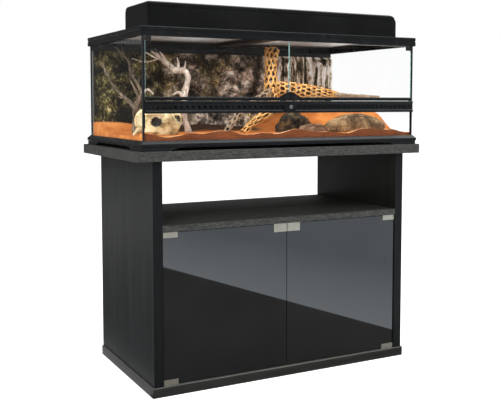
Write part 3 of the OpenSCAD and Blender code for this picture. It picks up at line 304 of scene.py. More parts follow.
def sand(name):
    """Red sand in drifts and grains. It has a painted highlight on its crest along the front pane, and
    painted shade on its front face and at the foot of the rock."""
    highlight_from, highlight_to, cut_y = -0.222, -0.2295, -0.2312
    m = Nodes(name)
    grains = m.noise(900, 3, 0.7)
    drift = m.noise(16, 5, 0.62)
    pebbles = m.voronoi(260)
    top = m.ramp(m.weighted(drift, 0.7, grains, 0.3),
                 (0.34, (0.36, 0.088, 0.016)), (0.52, (0.60, 0.20, 0.042)), (0.70, (0.80, 0.36, 0.11)))
    # Painted highlight: a pale band along the crest behind the front pane
    pale = m.ramp(grains, (0.3, (0.66, 0.36, 0.17)), (0.7, (0.92, 0.62, 0.36)))
    top = m.mix(m.between(m.axis("Y"), highlight_from, highlight_to), top, pale)
    # Painted shade: near-black sand at the foot of the rock, towards the back
    foot_shade = m.ramp(grains, (0.35, (0.006, 0.003, 0.001)), (0.65, (0.07, 0.025, 0.010)))
    far = m.math("ADD", m.axis("Y"), m.math("MULTIPLY", drift, 0.10))
    aside = m.math("ABSOLUTE", m.math("ADD", m.axis("X"), 0.09))
    foot = m.math("MULTIPLY", m.grey(far, (0.10, 0.0), (0.15, 1.0)), m.grey(aside, (0.15, 1.0), (0.20, 0.0)))
    top = m.mix(foot, top, foot_shade)
    # Painted shade: the sand's face against the front pane is a much darker copy of the sand
    front_face_shade = m.ramp(m.weighted(drift, 0.5, grains, 0.5),
                 (0.35, (0.055, 0.013, 0.003)), (0.65, (0.17, 0.045, 0.011)))
    m.set(Base_Color=m.mix(m.math("LESS_THAN", m.axis("Y"), cut_y), top, front_face_shade),
          Roughness=m.grey(grains, (0.3, 0.82), (0.7, 0.98)),
          Normal=m.bump(grains, 0.55, 0.0012, m.bump(pebbles, 0.25, 0.001)),
          Specular_IOR_Level=0.2)
    return m.mat


def backdrop(name):
    """Painted rock: brush and moss to the left, dark rock in the middle, pale bark to the right."""
    m = Nodes(name)
    big = m.noise(7, 5, 0.6, None, 0.4)
    mid = m.noise(24, 10, 0.74, None, 0.3)
    fine = m.noise(110, 6, 0.75, None, 0.6)

    def share(start, end, wobble):
        """0 to 1 along X, with an uneven border."""
        return m.between(m.math("ADD", m.axis("X"), m.around_zero(big, wobble)), start, end)

    stony = m.ramp(m.weighted(mid, 0.7, fine, 0.3),
                   (0.43, (0.010, 0.006, 0.004)), (0.48, (0.11, 0.082, 0.064)),
                   (0.53, (0.36, 0.28, 0.22)), (0.585, (0.90, 0.78, 0.66)))
    ochre = m.ramp(fine, (0.40, (0.035, 0.022, 0.006)), (0.50, (0.26, 0.18, 0.06)),
                   (0.62, (0.78, 0.64, 0.34)))
    patches = m.grey(m.noise(13, 9, 0.72, None, 0.3), (0.52, 0.0), (0.60, 0.85))
    rock = m.mix(patches, stony, ochre)

    blades = m.noise(1.0, 6, 0.7, m.vec((150, 150, 60), (0, 0, 0), (0, 0.5, 0)), 0.8)
    moss = m.ramp(m.weighted(mid, 0.45, blades, 0.55),
                  (0.44, (0.004, 0.002, 0.001)), (0.495, (0.030, 0.023, 0.006)),
                  (0.55, (0.13, 0.11, 0.028)), (0.61, (0.50, 0.44, 0.23)))

    streak = m.noise(1.0, 6, 0.65, m.vec((52, 52, 5)), 0.8)
    bark = m.ramp(m.weighted(streak, 0.8, fine, 0.2),
                  (0.43, (0.012, 0.008, 0.004)), (0.475, (0.17, 0.12, 0.06)),
                  (0.515, (0.66, 0.55, 0.44)), (0.57, (1.0, 0.96, 0.92)))

    # Painted light and shade: random lumps make the rock and the moss darker and lighter, for their relief
    lumps = m.noise(13, 3, 0.5, m.vec((1, 1, 1), (3, 1, 7)), 0.3)
    relief_light_and_shade = m.grey(lumps, (0.38, 0.16), (0.50, 0.85), (0.62, 1.6))
    rock = m.mix(1.0, rock, relief_light_and_shade, "MULTIPLY")
    moss = m.mix(1.0, moss, relief_light_and_shade, "MULTIPLY")
    colour = m.mix(share(-0.10, -0.27, 0.35), rock, moss)
    colour = m.mix(share(0.18, 0.24, 0.25), colour, bark)
    m.set(Base_Color=colour,
          Roughness=m.grey(fine, (0.3, 0.7), (0.7, 0.95)),
          Normal=m.bump(m.math("ADD", mid, m.math("MULTIPLY", fine, 0.5)), 1.0, 0.012),
          Specular_IOR_Level=0.2)
    return m.mat


def bone(name, socket):
    """Old bone with fine cracks, and painted shade of a dark, ragged eye socket around a point of its front.
    """
    radius, flatness, raggedness = 0.0175, 1.25, 0.022
    m = Nodes(name)
    cloud = m.noise(35, 5, 0.6)
    fine = m.noise(260, 4, 0.65)
    colour = m.ramp(cloud, (0.34, (0.24, 0.15, 0.05)), (0.44, (0.56, 0.43, 0.22)),
                    (0.52, (0.70, 0.58, 0.33)), (0.66, (0.86, 0.78, 0.54)))
    cracks = m.grey(m.voronoi(70, None, "DISTANCE_TO_EDGE"), (0.0, 0.55), (0.02, 0.0))
    colour = m.mix(cracks, colour, (0.16, 0.11, 0.05))
    # Painted shade: a dark patch stands in for the eye socket's hollow
    dx = m.math("SUBTRACT", m.axis("X"), socket[0])
    dz = m.math("MULTIPLY", m.math("SUBTRACT", m.axis("Z"), socket[2]), flatness)
    away = m.math("SQRT", m.math("ADD", m.math("MULTIPLY", dx, dx), m.math("MULTIPLY", dz, dz)))
    ragged = m.math("ADD", away, m.around_zero(m.noise(160, 3, 0.8, None, 1.5), raggedness))
    in_front = m.math("LESS_THAN", m.axis("Y"), socket[1])
    hole = m.math("MULTIPLY", m.math("LESS_THAN", ragged, radius), in_front)
    m.set(Base_Color=m.mix(hole, colour, (0.010, 0.006, 0.003)),
          Roughness=m.grey(fine, (0.3, 0.5), (0.7, 0.8)),
          Normal=m.bump(m.weighted(cloud, 0.7, fine, 0.3), 0.8, 0.004))
    return m.mat


def bare_wood(name, dark, mid, light, scale, grain="Z"):
    """Weathered wood with fibres along one axis."""
    run = {"X": (26, 170, 170), "Z": (170, 170, 26)}[grain]
    m = Nodes(name)
    fibre = m.noise(1.0, 5, 0.65, m.vec(tuple(v * scale for v in run)), 0.5)
    cloud = m.noise(22 * scale, 4, 0.6)
    m.set(Base_Color=m.ramp(m.weighted(fibre, 0.6, cloud, 0.4), (0.36, dark), (0.5, mid), (0.66, light)),
          Roughness=m.grey(fibre, (0.3, 0.65), (0.7, 0.9)),
          Normal=m.bump(fibre, 0.6, 0.002),
          Specular_IOR_Level=0.3)
    return m.mat


def stone(name, dark, mid, light, scale, vein=None):
    """Rough stone in three tones, with or without veins of another colour."""
    m = Nodes(name)
    cloud = m.noise(18 * scale, 6, 0.62, None, 0.4)
    fine = m.noise(190 * scale, 5, 0.7)
    tone = m.weighted(cloud, 0.6, fine, 0.4)
    colour = m.ramp(tone, (0.40, dark), (0.5, mid), (0.60, light))
    if vein:
        crack = m.voronoi(9 * scale, m.vec((1, 1, 2.2)), "DISTANCE_TO_EDGE")
        colour = m.mix(m.grey(crack, (0.0, 0.8), (0.03, 0.0)), colour, vein)
    m.set(Base_Color=colour,
          Roughness=m.grey(fine, (0.3, 0.6), (0.7, 0.9)),
          Normal=m.bump(tone, 0.6, 0.003),
          Specular_IOR_Level=0.3)
    return m.mat


def simple_surface(name, colour, rough, bump_scale, bump=0.1):
    """Plain small parts: nylon, coated sheet and tube glass."""
    m = Nodes(name)
    fine = m.noise(bump_scale, 3, 0.6)
    cloud = m.noise(30, 3, 0.5)
    m.set(Base_Color=m.ramp(cloud, (0.3, tuple(c * 0.9 for c in colour)), (0.7, colour)),
          Roughness=m.grey(fine, (0.3, rough - 0.05), (0.7, rough + 0.1)),
          Normal=m.bump(fine, bump, 0.0003))
    return m.mat


# Two tones each: smooth banded edges, fibrous edges, and painted shade on the face towards the niche
BANDING = ((0.006, 0.0065, 0.007), (0.010, 0.0105, 0.011))
FIBROUS = ((0.014, 0.015, 0.014), (0.085, 0.088, 0.080))
SHADED = ((0.0045, 0.0045, 0.0035), (0.010, 0.010, 0.008))
# Painted highlight: the base board is lighter above this height, on its upper arris and face
LIT_TOP = (0.0266, (0.075, 0.076, 0.070), (0.12, 0.12, 0.11))

PANEL = laminate("panel_laminate", (0.009, 0.0097, 0.010), (0.025, 0.0265, 0.028), "Z", 0.5, 0.4,
                 BANDING, SHADED, specular=0.12)
TOP = laminate("top_laminate", (0.022, 0.023, 0.020), (0.070, 0.071, 0.063), "X", 0.45, 0.4, FIBROUS)
BASE = laminate("base_laminate", (0.012, 0.013, 0.011), (0.026, 0.027, 0.024), "X", 0.5, 0.3, top=LIT_TOP)
SHELF = laminate("shelf_laminate", (0.015, 0.016, 0.0125), (0.040, 0.041, 0.033), "X", 0.52, 0.35, FIBROUS)
HARDBOARD = laminate("hardboard", (0.012, 0.011, 0.009), (0.022, 0.020, 0.018), "X", 0.7, 0.15)
FRAME = plastic("frame_plastic", (0.0065, 0.0072, 0.008), 0.24, 0.1, 0.02, 0.22)
SCREEN = plastic("screen_plastic", (0.010, 0.010, 0.011), 0.45, 0.2)
HOOD = plastic("canopy_plastic", (0.0045, 0.0048, 0.005), 0.34, 0.2, 0.01, 0.14)
BLACK = plastic("black_plastic", (0.010, 0.010, 0.010), 0.45)
RED = plastic("rocker_red", (0.42, 0.02, 0.015), 0.3, 0.05)
SILICONE = plastic("silicone", (0.008, 0.009, 0.011), 0.3, 0.05)
NICKEL = metal("satin_nickel", (0.58, 0.55, 0.47), 0.44)
STEEL = metal("ground_steel", (0.55, 0.55, 0.55), 0.3)
CHROME = metal("bright_nickel", (0.74, 0.74, 0.73), 0.26)
ALU = metal("polished_sheet", (0.85, 0.86, 0.87), 0.16)
GLASS = clear_glass("pane_glass")
GLASS_EDGE = glass_edge("pane_edge")
DARK_GLASS = smoked_glass("smoked_glass")
MESH = screen_mesh("woven_mesh")
NYLON = simple_surface("nylon", (0.80, 0.78, 0.72), 0.45, 500)
SOCKET = simple_surface("socket_plastic", (0.80, 0.79, 0.75), 0.4, 700)
TUBE = simple_surface("coated_tube", (0.88, 0.88, 0.85), 0.12, 300, 0.02)
BALLAST = simple_surface("painted_case", (0.62, 0.63, 0.63), 0.4, 600)
SAND = sand("red_sand")
ROCK = backdrop("painted_rock")
FOAM = stone("foam_back", (0.030, 0.030, 0.028), (0.042, 0.042, 0.040), (0.060, 0.060, 0.057), 3.0)
BONE = bone("old_bone", (-0.368, -0.110, 0.754))
BEECH = bare_wood("beech", (0.40, 0.27, 0.15), (0.55, 0.40, 0.24), (0.66, 0.50, 0.32), 2)
WOOD = bare_wood("bleached_wood", (0.09, 0.06, 0.04), (0.40, 0.32, 0.26), (0.82, 0.74, 0.65), 1.4)
DARK_WOOD = bare_wood("dark_wood", (0.020, 0.012, 0.007), (0.10, 0.068, 0.042), (0.34, 0.26, 0.19), 1.4)
GREY_WOOD = bare_wood("grey_wood", (0.09, 0.060, 0.040), (0.28, 0.20, 0.13), (0.48, 0.37, 0.26), 1.2)
CHOLLA = bare_wood("cactus_wood", (0.20, 0.070, 0.014), (0.62, 0.31, 0.085), (0.95, 0.62, 0.26), 1.6)
# Painted shade: the inside of the cactus net is near black
CHOLLA_INNER_SHADE = bare_wood("cactus_inner_shade", (0.006, 0.003, 0.001), (0.022, 0.011, 0.004), (0.06, 0.030, 0.012), 1.3)
DRIFT = bare_wood("driftwood", (0.035, 0.018, 0.010), (0.20, 0.11, 0.060), (0.60, 0.42, 0.29), 1.2, "X")
DARK_STONE = stone("dark_stone", (0.004, 0.0025, 0.001), (0.024, 0.015, 0.0065), (0.16, 0.105, 0.050), 1.9)
PALE_STONE = stone("pale_stone", (0.045, 0.022, 0.008), (0.23, 0.135, 0.058), (0.54, 0.37, 0.19), 1.3,
                   (0.02, 0.010, 0.004))

LOOK = {
    "cabinet_base": BASE, "cabinet_side_left": PANEL, "cabinet_side_right": PANEL, "cabinet_top": TOP,
    "cabinet_shelf": SHELF, "cabinet_back_panel": HARDBOARD, "cabinet_screws": STEEL, "cabinet_dowels": BEECH,
    "pivot_bushes": NYLON, "cabinet_door_left": DARK_GLASS, "cabinet_door_right": DARK_GLASS,
    "pivot_clips_left": NICKEL, "pivot_clips_right": NICKEL, "strike_plate_left": NICKEL,
    "strike_plate_right": NICKEL, "push_latch_body": BLACK, "latch_plunger_left": NYLON,
    "latch_plunger_right": NYLON, "bottom_frame": FRAME, "glass_floor": GLASS, "glass_left": GLASS,
    "glass_right": GLASS, "glass_back": GLASS, "glass_front": GLASS, "corner_seals": SILICONE,
    "vent_strip": FRAME, "hinge_blocks": BLACK, "hinge_pins": STEEL, "top_frame": FRAME,
    "cable_slide_left": BLACK, "cable_slide_right": BLACK, "screen_frame": SCREEN, "screen_mesh_left": MESH,
    "screen_mesh_right": MESH, "terrarium_door_left": GLASS, "terrarium_door_right": GLASS,
    "door_rail_left": FRAME, "door_rail_right": FRAME, "door_clip_left": BLACK, "door_clip_right": BLACK,
    "lock_keeper_left": STEEL, "lock_keeper_right": STEEL, "lock_barrel": CHROME, "lock_cam": STEEL,
    "hood_shell": HOOD, "hood_reflector": ALU, "lamp_tubes": TUBE, "lamp_sockets": SOCKET,
    "hood_ballast": BALLAST, "switch_housing": BLACK, "switch_rocker": RED, "hood_cable_gland": BLACK,
    "sand_bed": SAND, "rock_background": ROCK, "skull_ornament": BONE, "driftwood_branches": WOOD,
    "cholla_wood": CHOLLA, "dark_rock": DARK_STONE, "smooth_stone": PALE_STONE, "driftwood_piece": DRIFT,
}


def paint(node, mat):
    """Gives a CAD node its one material."""
    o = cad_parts[node]
    if not o.material_slots:
        o.data.materials.append(mat)
    for slot in o.material_slots:
        slot.material = mat


for node, mat in LOOK.items():
    paint(node, mat)

# ------------------------------------------------------------------ mesh helpers


def step01(t):
    """Smooth step from 0 to 1."""
    k = max(0.0, min(1.0, t))
    return k * k * (3 - 2 * k)


def sine(degrees):
    return math.sin(math.radians(degrees))


def cosine(degrees):
    return math.cos(math.radians(degrees))


def mm(*points):
    """Points given in millimetres, in metres."""
    return [tuple(c * MM for c in p) for p in points]


def curve(pts, t):
    """Smooth curve through points of (x, y, z, radius)."""
    last = len(pts) - 1
    s = max(0.0, min(t * last, last - 1e-4))
    i = int(s)
    f = s - i
    a, b, c, d = pts[max(i - 1, 0)], pts[i], pts[i + 1], pts[min(i + 2, last)]
    return [(2 * q + (r - p) * f + (2 * p - 5 * q + 4 * r - v) * f * f + (3 * q - p - 3 * r + v) * f ** 3) / 2
            for p, q, r, v in zip(a, b, c, d)]


def heading(pts, t):
    """Direction of the curve at t."""
    ahead, behind = curve(pts, min(1, t + 0.02)), curve(pts, max(0, t - 0.02))
    return (Vector(ahead[:3]) - Vector(behind[:3])).normalized()


def add_object(name, mesh, mat, node, body=ROOT):
    """A new piece in place of a CAD node, on a body."""
    o = bpy.data.objects.new(name, mesh)
    bpy.context.collection.objects.link(o)
    mesh.materials.clear()
    mesh.materials.append(mat)
    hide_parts(node)
    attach(o, body)
    return o


def baked(o):
    """Applies the object's modifiers."""
    deps = bpy.context.evaluated_depsgraph_get()
    mesh = bpy.data.meshes.new_from_object(o.evaluated_get(deps))
    o.modifiers.clear()
    o.data = mesh


def smooth_faces(o):
    """Smooth shading for a whole piece."""
    for p in o.data.polygons:
        p.use_smooth = True
    return o


def joined(name, parts, mat, node):
    """One object out of several lists of vertices and faces."""
    verts, faces = [], []
    for part_verts, part_faces in parts:
        n = len(verts)
        verts += part_verts
        faces += [tuple(i + n for i in face) for face in part_faces]
    mesh = bpy.data.meshes.new(name)
    mesh.from_pydata(verts, [], faces)
    return smooth_faces(add_object(name, mesh, mat, node))


def roughen(o, layers, stretch=(1, 1, 1)):
    """Moves every vertex along its normal by layers of noise: (size of a lump, height), in metres."""
    normals = [v.normal.copy() for v in o.data.vertices]
    for v, normal in zip(o.data.vertices, normals):
        height = 0.0
        for k, (size, most) in enumerate(layers):
            p = v.co / size + Vector((13.1 * k, 7.7, 3.3 * k))
            height += most * noise.noise(Vector((p.x * stretch[0], p.y * stretch[1], p.z * stretch[2])))
        v.co += normal * height
    o.data.update()


def slab(name, nx, ny, point, foot, mat, node):
    """Closed slab: a smooth face of nx by ny quads, and flat sides from its rim to a flat back."""
    verts = [point(i, j) for j in range(ny + 1) for i in range(nx + 1)]
    w = nx + 1
    faces = [(j * w + i, j * w + i + 1, (j + 1) * w + i + 1, (j + 1) * w + i)
             for j in range(ny) for i in range(nx)]
    rim = list(range(w)) + [j * w + nx for j in range(1, ny + 1)]
    rim += [ny * w + i for i in range(nx - 1, -1, -1)] + [j * w for j in range(ny - 1, 0, -1)]
    base = len(verts)
    verts += [foot(verts[k]) for k in rim]
    n = len(rim)
    faces += [(rim[(k + 1) % n], rim[k], base + k, base + (k + 1) % n) for k in range(n)]
    faces.append(tuple(base + n - 1 - k for k in range(n)))
    o = joined(name, [(verts, faces)], mat, node)
    for p in o.data.polygons[nx * ny:]:
        p.use_smooth = False
    return o


def grown(node, name, mat, voxel, rounds, layers, stretch=(1, 1, 1)):
    """A finer skin over a CAD solid: remeshed, smoothed, roughened and kept within the solid's box."""
    o = add_object(name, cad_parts[node].data.copy(), mat, node)
    remesh = o.modifiers.new("remesh", "REMESH")
    remesh.mode = "VOXEL"
    remesh.voxel_size = voxel
    smooth = o.modifiers.new("smooth", "SMOOTH")
    smooth.factor = 0.5
    smooth.iterations = rounds
    baked(o)
    roughen(o, layers, stretch)
    lo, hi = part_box(node)
    for v in o.data.vertices:
        v.co = Vector([min(max(c, a), b) for c, a, b in zip(v.co, lo, hi)])
    smooth_faces(o)


def net_stem(pts, ref, around, rows, seed, bar=0.34, bow=0.15):
    """Dried cactus stem: quads of a net around rows of holes, as vertices and faces. A bar is the share
    of a row between two rows of holes, and bow is how far it bends at the middle of a hole."""
    rnd = random.Random(seed)
    sides = 3 * around
    rings = 2 * rows + 2
    verts = []
    for k in range(rings):
        row = (k - 1) // 2
        for i in range(sides):
            bent = 0.0
            if 0 < k < rings - 1 and (i + row * 2) % 3 == 2:
                bent = -bow if k % 2 == 1 else bow
            t = (k // 2 + (k % 2) * bar + bent + rnd.uniform(-0.09, 0.09)) / (rows + bar)
            if k in (0, rings - 1):
                t += (0.5 if k == 0 else -0.5) * rnd.uniform(0, 0.6) / rows
            q = curve(pts, t)
            along = heading(pts, t)
            u = Vector(ref).cross(along).normalized()
            w = along.cross(u)
            a = 2 * math.pi * (i + rnd.uniform(-0.22, 0.22) + 0.3 * k) / sides
            r = q[3] * (1 + 0.13 * noise.noise(Vector((k * 0.35, i * 0.4, seed))))
            verts.append(Vector(q[:3]) + r * (math.cos(a) * u + math.sin(a) * w))
    faces = []
    for k in range(rings - 1):
        for i in range(sides):
            if k % 2 == 0 or (i + (k - 1) // 2 * 2) % 3 == 0:
                a, b = k * sides + i, k * sides + (i + 1) % sides
                faces.append((a, b, b + sides, a + sides))
    return verts, faces


def netting(name, stems, outer, wall):
    """Nets given their wall, with painted shade on the inside, and with rounded holes."""
    o = joined(name, stems, outer, "cholla_wood")
    o.data.materials.append(CHOLLA_INNER_SHADE)
    solid = o.modifiers.new("wall", "SOLIDIFY")
    solid.thickness = wall
    solid.offset = -1
    solid.material_offset = 1
    rounding = o.modifiers.new("round", "SUBSURF")
    rounding.levels = rounding.render_levels = 2
    baked(o)
    roughen(o, [(0.011, 0.0012), (0.004, 0.0006)])
    smooth_faces(o)


def sweep(pts, sides, steps, ridges, seed):
    """A limb of wood through (x, y, z, radius), with ridges that wind along it and a blunt tip."""
    verts, faces = [], []
    last = None
    for k in range(steps + 1):
        t = k / steps
        q = curve(pts, t)
        along = heading(pts, t)
        ref = last or (Vector((1, 0, 0)) if abs(along.x) < 0.8 else Vector((0, 1, 0)))
        u = (ref - along * ref.dot(along)).normalized()
        last = u
        w = along.cross(u)
        close = 0.25 if k == steps else 1.0
        for i in range(sides):
            a = 2 * math.pi * i / sides
            fold = math.sin(3 * a + 5 * t + seed) * 0.6 + math.sin(7 * a - 4 * t + seed) * 0.4
            lump = noise.noise(Vector((t * 9, math.cos(a) * 0.8, math.sin(a) * 0.8 + seed * 3.7)))
            r = q[3] * close * (1 + ridges * fold + 0.22 * lump)
            verts.append(Vector(q[:3]) + r * (math.cos(a) * u + math.sin(a) * w))
    for k in range(steps):
        for i in range(sides):
            a, b = k * sides + i, k * sides + (i + 1) % sides
            faces.append((a, b, b + sides, a + sides))
    verts += [sum(verts[:sides], Vector()) / sides, sum(verts[-sides:], Vector()) / sides]
    n = len(verts)
    for i in range(sides):
        faces.append((n - 2, (i + 1) % sides, i))
        faces.append((n - 1, steps * sides + i, steps * sides + (i + 1) % sides))
    return verts, faces


def shoots(paths, count, length, seed):
    """Thin side shoots that grow out of limbs."""
    thickest = 0.0016
    rnd = random.Random(seed)
    out = []
    for _ in range(count):
        pts = rnd.choice(paths)
        t = rnd.uniform(0.25, 0.95)
        q, p = curve(pts, t), curve(pts, min(1, t + 0.03))
        along = (Vector(p[:3]) - Vector(q[:3])).normalized()
        aside = along.cross(Vector([rnd.uniform(-1, 1) for _ in range(3)])).normalized()
        size = length * rnd.uniform(0.5, 1.0)
        a = Vector(q[:3])
        b = a + (aside * 0.75 + along * 0.6) * size * 0.5
        c = b + (aside * 0.35 + along * 0.9 + Vector((0, 0, 0.3))) * size * 0.5
        r = min(q[3] * 0.5, thickest)
        out.append(sweep([(*a, r), (*b, r * 0.8), (*c, r * 0.35)], 6, 8, 0.15, seed))
    return out


# ------------------------------------------------------------------ furnishing


def sand_height(x, y):
    """The CAD surface of the sand, in millimetres above its floor, with fine ripples."""
    x, y = x / MM, y / MM
    half_x, half_y = INNER_X / MM, INNER_Y / MM
    # Each bank and the dune rise from a place on, over a distance, in millimetres
    front = step01((-half_y + 46 - y) / 40)
    back = step01((y - 60) / 90)
    left = step01((-250 - x) / 120) * step01((y - 80) / 110)
    dune = step01((y + half_y - 70 - (half_x - x) * 0.55) / 125) * step01((x - 0.2 * half_x) / 160)
    h = BED_H + front * (FRONT_BANK_H + 5 * sine(x * 1.35 + 40) + 3 * sine(x * 3.1))
    h += back * (1 - dune) * (BACK_BANK_H + 5 * sine(x * 1.1) * cosine(y * 0.9))
    h += LEFT_BANK_H * left + DUNE_H * dune
    ripple = 1 - abs(noise.noise(Vector((x / 38, y / 15, 0.3)))) * 2
    h += 1.6 * max(0, ripple) * (0.35 + 0.65 * max(front, back, left, dune))
    h += 0.7 * noise.noise(Vector((x / 9, y / 7, 5.0))) + 0.35 * noise.noise(Vector((x / 3.3, y / 3.1, 9.0)))
    return h


def make_sand():
    """The sand, with its surface as a fine grid."""
    nx, ny = 300, 150

    def point(i, j):
        x = -INNER_X + 2 * INNER_X * i / nx
        y = -INNER_Y + (INNER_Y + BED_Y) * j / ny
        return Vector((x, y, SAND_Z + sand_height(x, y) * MM))

    slab("sand", nx, ny, point, lambda v: Vector((v.x, v.y, SAND_Z)), SAND, "sand_bed")


def rock_depth(x, z, height):
    """How far the rock stands out from the back pane, in millimetres. It is flat at its foot, top and
    ends, creased like rock up to bark_x, and grooved like bark from there on."""
    bark_x, least, creased_least = 210, 6, 7
    foot_h = BED_H + DUNE_H + 10
    ends = step01((INNER_X / MM - abs(x)) / 14)
    free = step01((z + height / 2 - foot_h) / 30) * step01((height / 2 - z) / 12) * ends
    a = sine(x * 1.9 + 30 * sine(z * 1.7))
    b = sine(x * 4.3 + z * 2.1) * cosine(z * 3.7)
    c = sine(x * 0.77 + 90)
    depth = ROCK_T + free * max(0, 9 + 8 * a + 5 * b + 8 * c)
    p = Vector((x / 34, z / 26, 0))
    rough = noise.noise(p) * 3.2 + noise.noise(p * 2.7) * 1.8 + noise.noise(p * 6.1) * 0.8
    if x < bark_x:
        near = noise.voronoi(Vector((x / 52 + 0.35 * rough / 3, z / 44, 0.5)))[0]
        crease = min(1.0, (near[1] - near[0]) * 2.6)
        weathered = depth + min(0.0, rough - 1.0) - creased_least
        depth = creased_least + weathered * (1 - free * 0.7 * (1 - crease))
    else:
        depth += min(0.0, 4 * noise.noise(Vector((x / 8, z / 70, 1))) - 1) * free
    return max(least, depth)


def make_backdrop():
    """The rock background, with bare foam on its rim and its back."""
    nx, nz = 330, 100
    lo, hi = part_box("rock_background")
    height = (hi.z - lo.z) / MM

    def point(i, j):
        x = lo.x + (hi.x - lo.x) * i / nx
        z = lo.z + (hi.z - lo.z) * j / nz
        depth = rock_depth(x / MM, (z - (lo.z + hi.z) / 2) / MM, height)
        return Vector((x, INNER_Y - depth * MM, z))

    o = slab("backdrop", nx, nz, point, lambda v: Vector((v.x, INNER_Y, v.z)), ROCK,
             "rock_background")
    o.data.materials.append(FOAM)
    for p in o.data.polygons[nx * nz:]:
        p.material_index = 1


def make_cholla():
    """The cactus wood: an upright stem, a long arm and a leg in one net, a grey prop, and the arm's tip."""
    upright_stem = mm((86, 26, 838, 24), (90, 36, 880, 22), (94, 44, 915, 20), (99, 52, 950, 21),
                      (108, 60, 981, 25))
    arm = mm((96, 24, 852, 26), (140, 8, 850, 26), (191, -10, 845, 23), (240, -32, 839, 18),
             (290, -52, 833, 11))
    leg = mm((-66, -70, 716, 12), (-34, -56, 738, 12), (0, -40, 755, 14), (52, -22, 780, 14),
             (76, 2, 816, 16), (88, 24, 850, 18))
    prop = mm((-132, -80, 716, 10), (-98, -64, 748, 10), (-63, -50, 777, 11.5), (-20, -32, 802, 12),
              (40, -4, 828, 14), (84, 24, 846, 16))
    tip = mm((270, -43, 836, 11), (300, -57, 832, 8.5), (346, -72, 830, 5.5), (424, -98, 827, 3.6))
    netting("cholla", [net_stem(upright_stem, (1, 0, 0), 8, 7, 3), net_stem(arm, (0, 0, 1), 9, 12, 5),
                       net_stem(leg, (0, 0, 1), 6, 9, 8)], CHOLLA, 0.0036)
    netting("cholla_prop", [net_stem(prop, (0, 0, 1), 5, 11, 9, 0.42, 0.10)], GREY_WOOD, 0.0032)
    o = joined("cholla_tip", [sweep(tip, 14, 60, 0.12, 4)], GREY_WOOD, "cholla_wood")
    roughen(o, [(0.006, 0.0010), (0.003, 0.0005)])


def limbs(table, first_seed):
    """Swept limbs from rows of (points, sides, steps, ridges)."""
    return [sweep(*row, seed) for seed, row in enumerate(table, first_seed)]


def make_branches():
    """The dark branches and the bleached one, each with side shoots."""
    leaning = mm((-371, 30, 788, 7), (-382, 42, 806, 6), (-395, 70, 826, 4.5), (-412, 98, 852, 3.8),
                 (-426, 120, 886, 3.0), (-433, 132, 912, 2.4), (-436, 142, 938, 1.4))
    rising = mm((-366, 28, 810, 6), (-354, 28, 838, 5), (-359, 48, 864, 4.2), (-369, 70, 896, 3.8),
                (-372, 90, 934, 3.4), (-387, 108, 957, 2.8), (-400, 124, 978, 1.8))
    bleached = mm((-203, 20, 712, 11), (-216, 20, 752, 8), (-223, 22, 786, 8.5), (-217, 30, 831, 9.5),
                  (-208, 35, 860, 9), (-201, 40, 888, 8.5), (-212, 45, 905, 9), (-235, 50, 905, 9),
                  (-259, 55, 923, 7.6), (-284, 60, 947, 6), (-312, 61, 965, 2))
    dark = [
        (mm((-372, 32, 714, 12), (-371, 34, 760, 9), (-371, 30, 792, 9), (-366, 28, 812, 7)), 14, 36, 0.14),
        (leaning, 10, 70, 0.14),
        (mm((-426, 120, 886, 2.4), (-425, 123, 896, 2), (-424, 124, 905, 1.2)), 8, 10, 0.1),
        (rising, 10, 80, 0.14),
        (mm((-359, 26, 820, 5), (-371, 50, 858, 3.4), (-379, 66, 883, 1.6)), 9, 30, 0.14),
    ]
    pale = [
        (bleached, 18, 150, 0.17),
        (mm((-270, 56, 936, 5), (-300, 64, 946, 3), (-327, 68, 961, 1.4)), 10, 40, 0.16),
        (mm((-262, 56, 928, 4.5), (-272, 54, 944, 3.6), (-287, 52, 963, 1.4)), 10, 26, 0.16),
        (mm((-230, 50, 904, 6), (-228, 50, 926, 4), (-231, 50, 946, 1.4)), 10, 26, 0.2),
        (mm((-212, 44, 903, 4), (-207, 46, 920, 3), (-204, 48, 937, 1.2)), 9, 24, 0.2),
        (mm((-217, 28, 822, 7), (-238, 24, 838, 4.6), (-259, 20, 831, 2.2)), 10, 30, 0.2),
        (mm((-354, 28, 836, 4.4), (-342, 12, 846, 4.2), (-327, 3, 833, 2)), 10, 26, 0.16),
        (mm((-280, 60, 944, 2.6), (-296, 62, 938, 2.0), (-327, 80, 932, 1.7), (-361, 90, 943, 1.2)),
         8, 40, 0.1),
    ]
    crown = bleached[5:]
    for name, wood, parts in (
            ("dead_branches", DARK_WOOD, limbs(dark, 1) + shoots([leaning, rising], 22, 0.030, 4)),
            ("bleached_branch", WOOD, limbs(pale, len(dark) + 1) + shoots([crown], 12, 0.026, 6))):
        o = joined(name, parts, wood, "driftwood_branches")
        roughen(o, [(0.005, 0.0007), (0.002, 0.0003)])


make_sand()
make_backdrop()
make_cholla()
make_branches()
grown("skull_ornament", "skull", BONE, 0.0015, 3, [(0.022, 0.0022), (0.008, 0.0016), (0.003, 0.0006)])
grown("dark_rock", "rock", DARK_STONE, 0.0025, 3,
      [(0.030, 0.006), (0.011, 0.003), (0.004, 0.001)], (1, 1, 1.8))
grown("smooth_stone", "boulder", PALE_STONE, 0.003, 8,
      [(0.060, 0.004), (0.018, 0.0012), (0.005, 0.0004)])
grown("driftwood_piece", "drift_log", DRIFT, 0.0018, 4, [(0.020, 0.003), (0.006, 0.0016)],
      (0.4, 1.4, 2.4))

# ------------------------------------------------------------------ panes

X, Y, Z = 0, 1, 2
# Axis of a pane, and the two places on it beyond which the pane is glued into its frame
GLUED_SIDES = (Y, -0.2280, 0.2300)
GLUED_TOP = (Z, 0.5, 0.9680)


def pane(node, mat, body=ROOT):
    """A copy of a CAD pane with a second material."""
    name = node.replace("glass_", "pane_").replace("terrarium_door", "door_pane")
    o = add_object(name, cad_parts[node].data.copy(), GLASS, node, body)
    o.data.materials.append(mat)
    return o


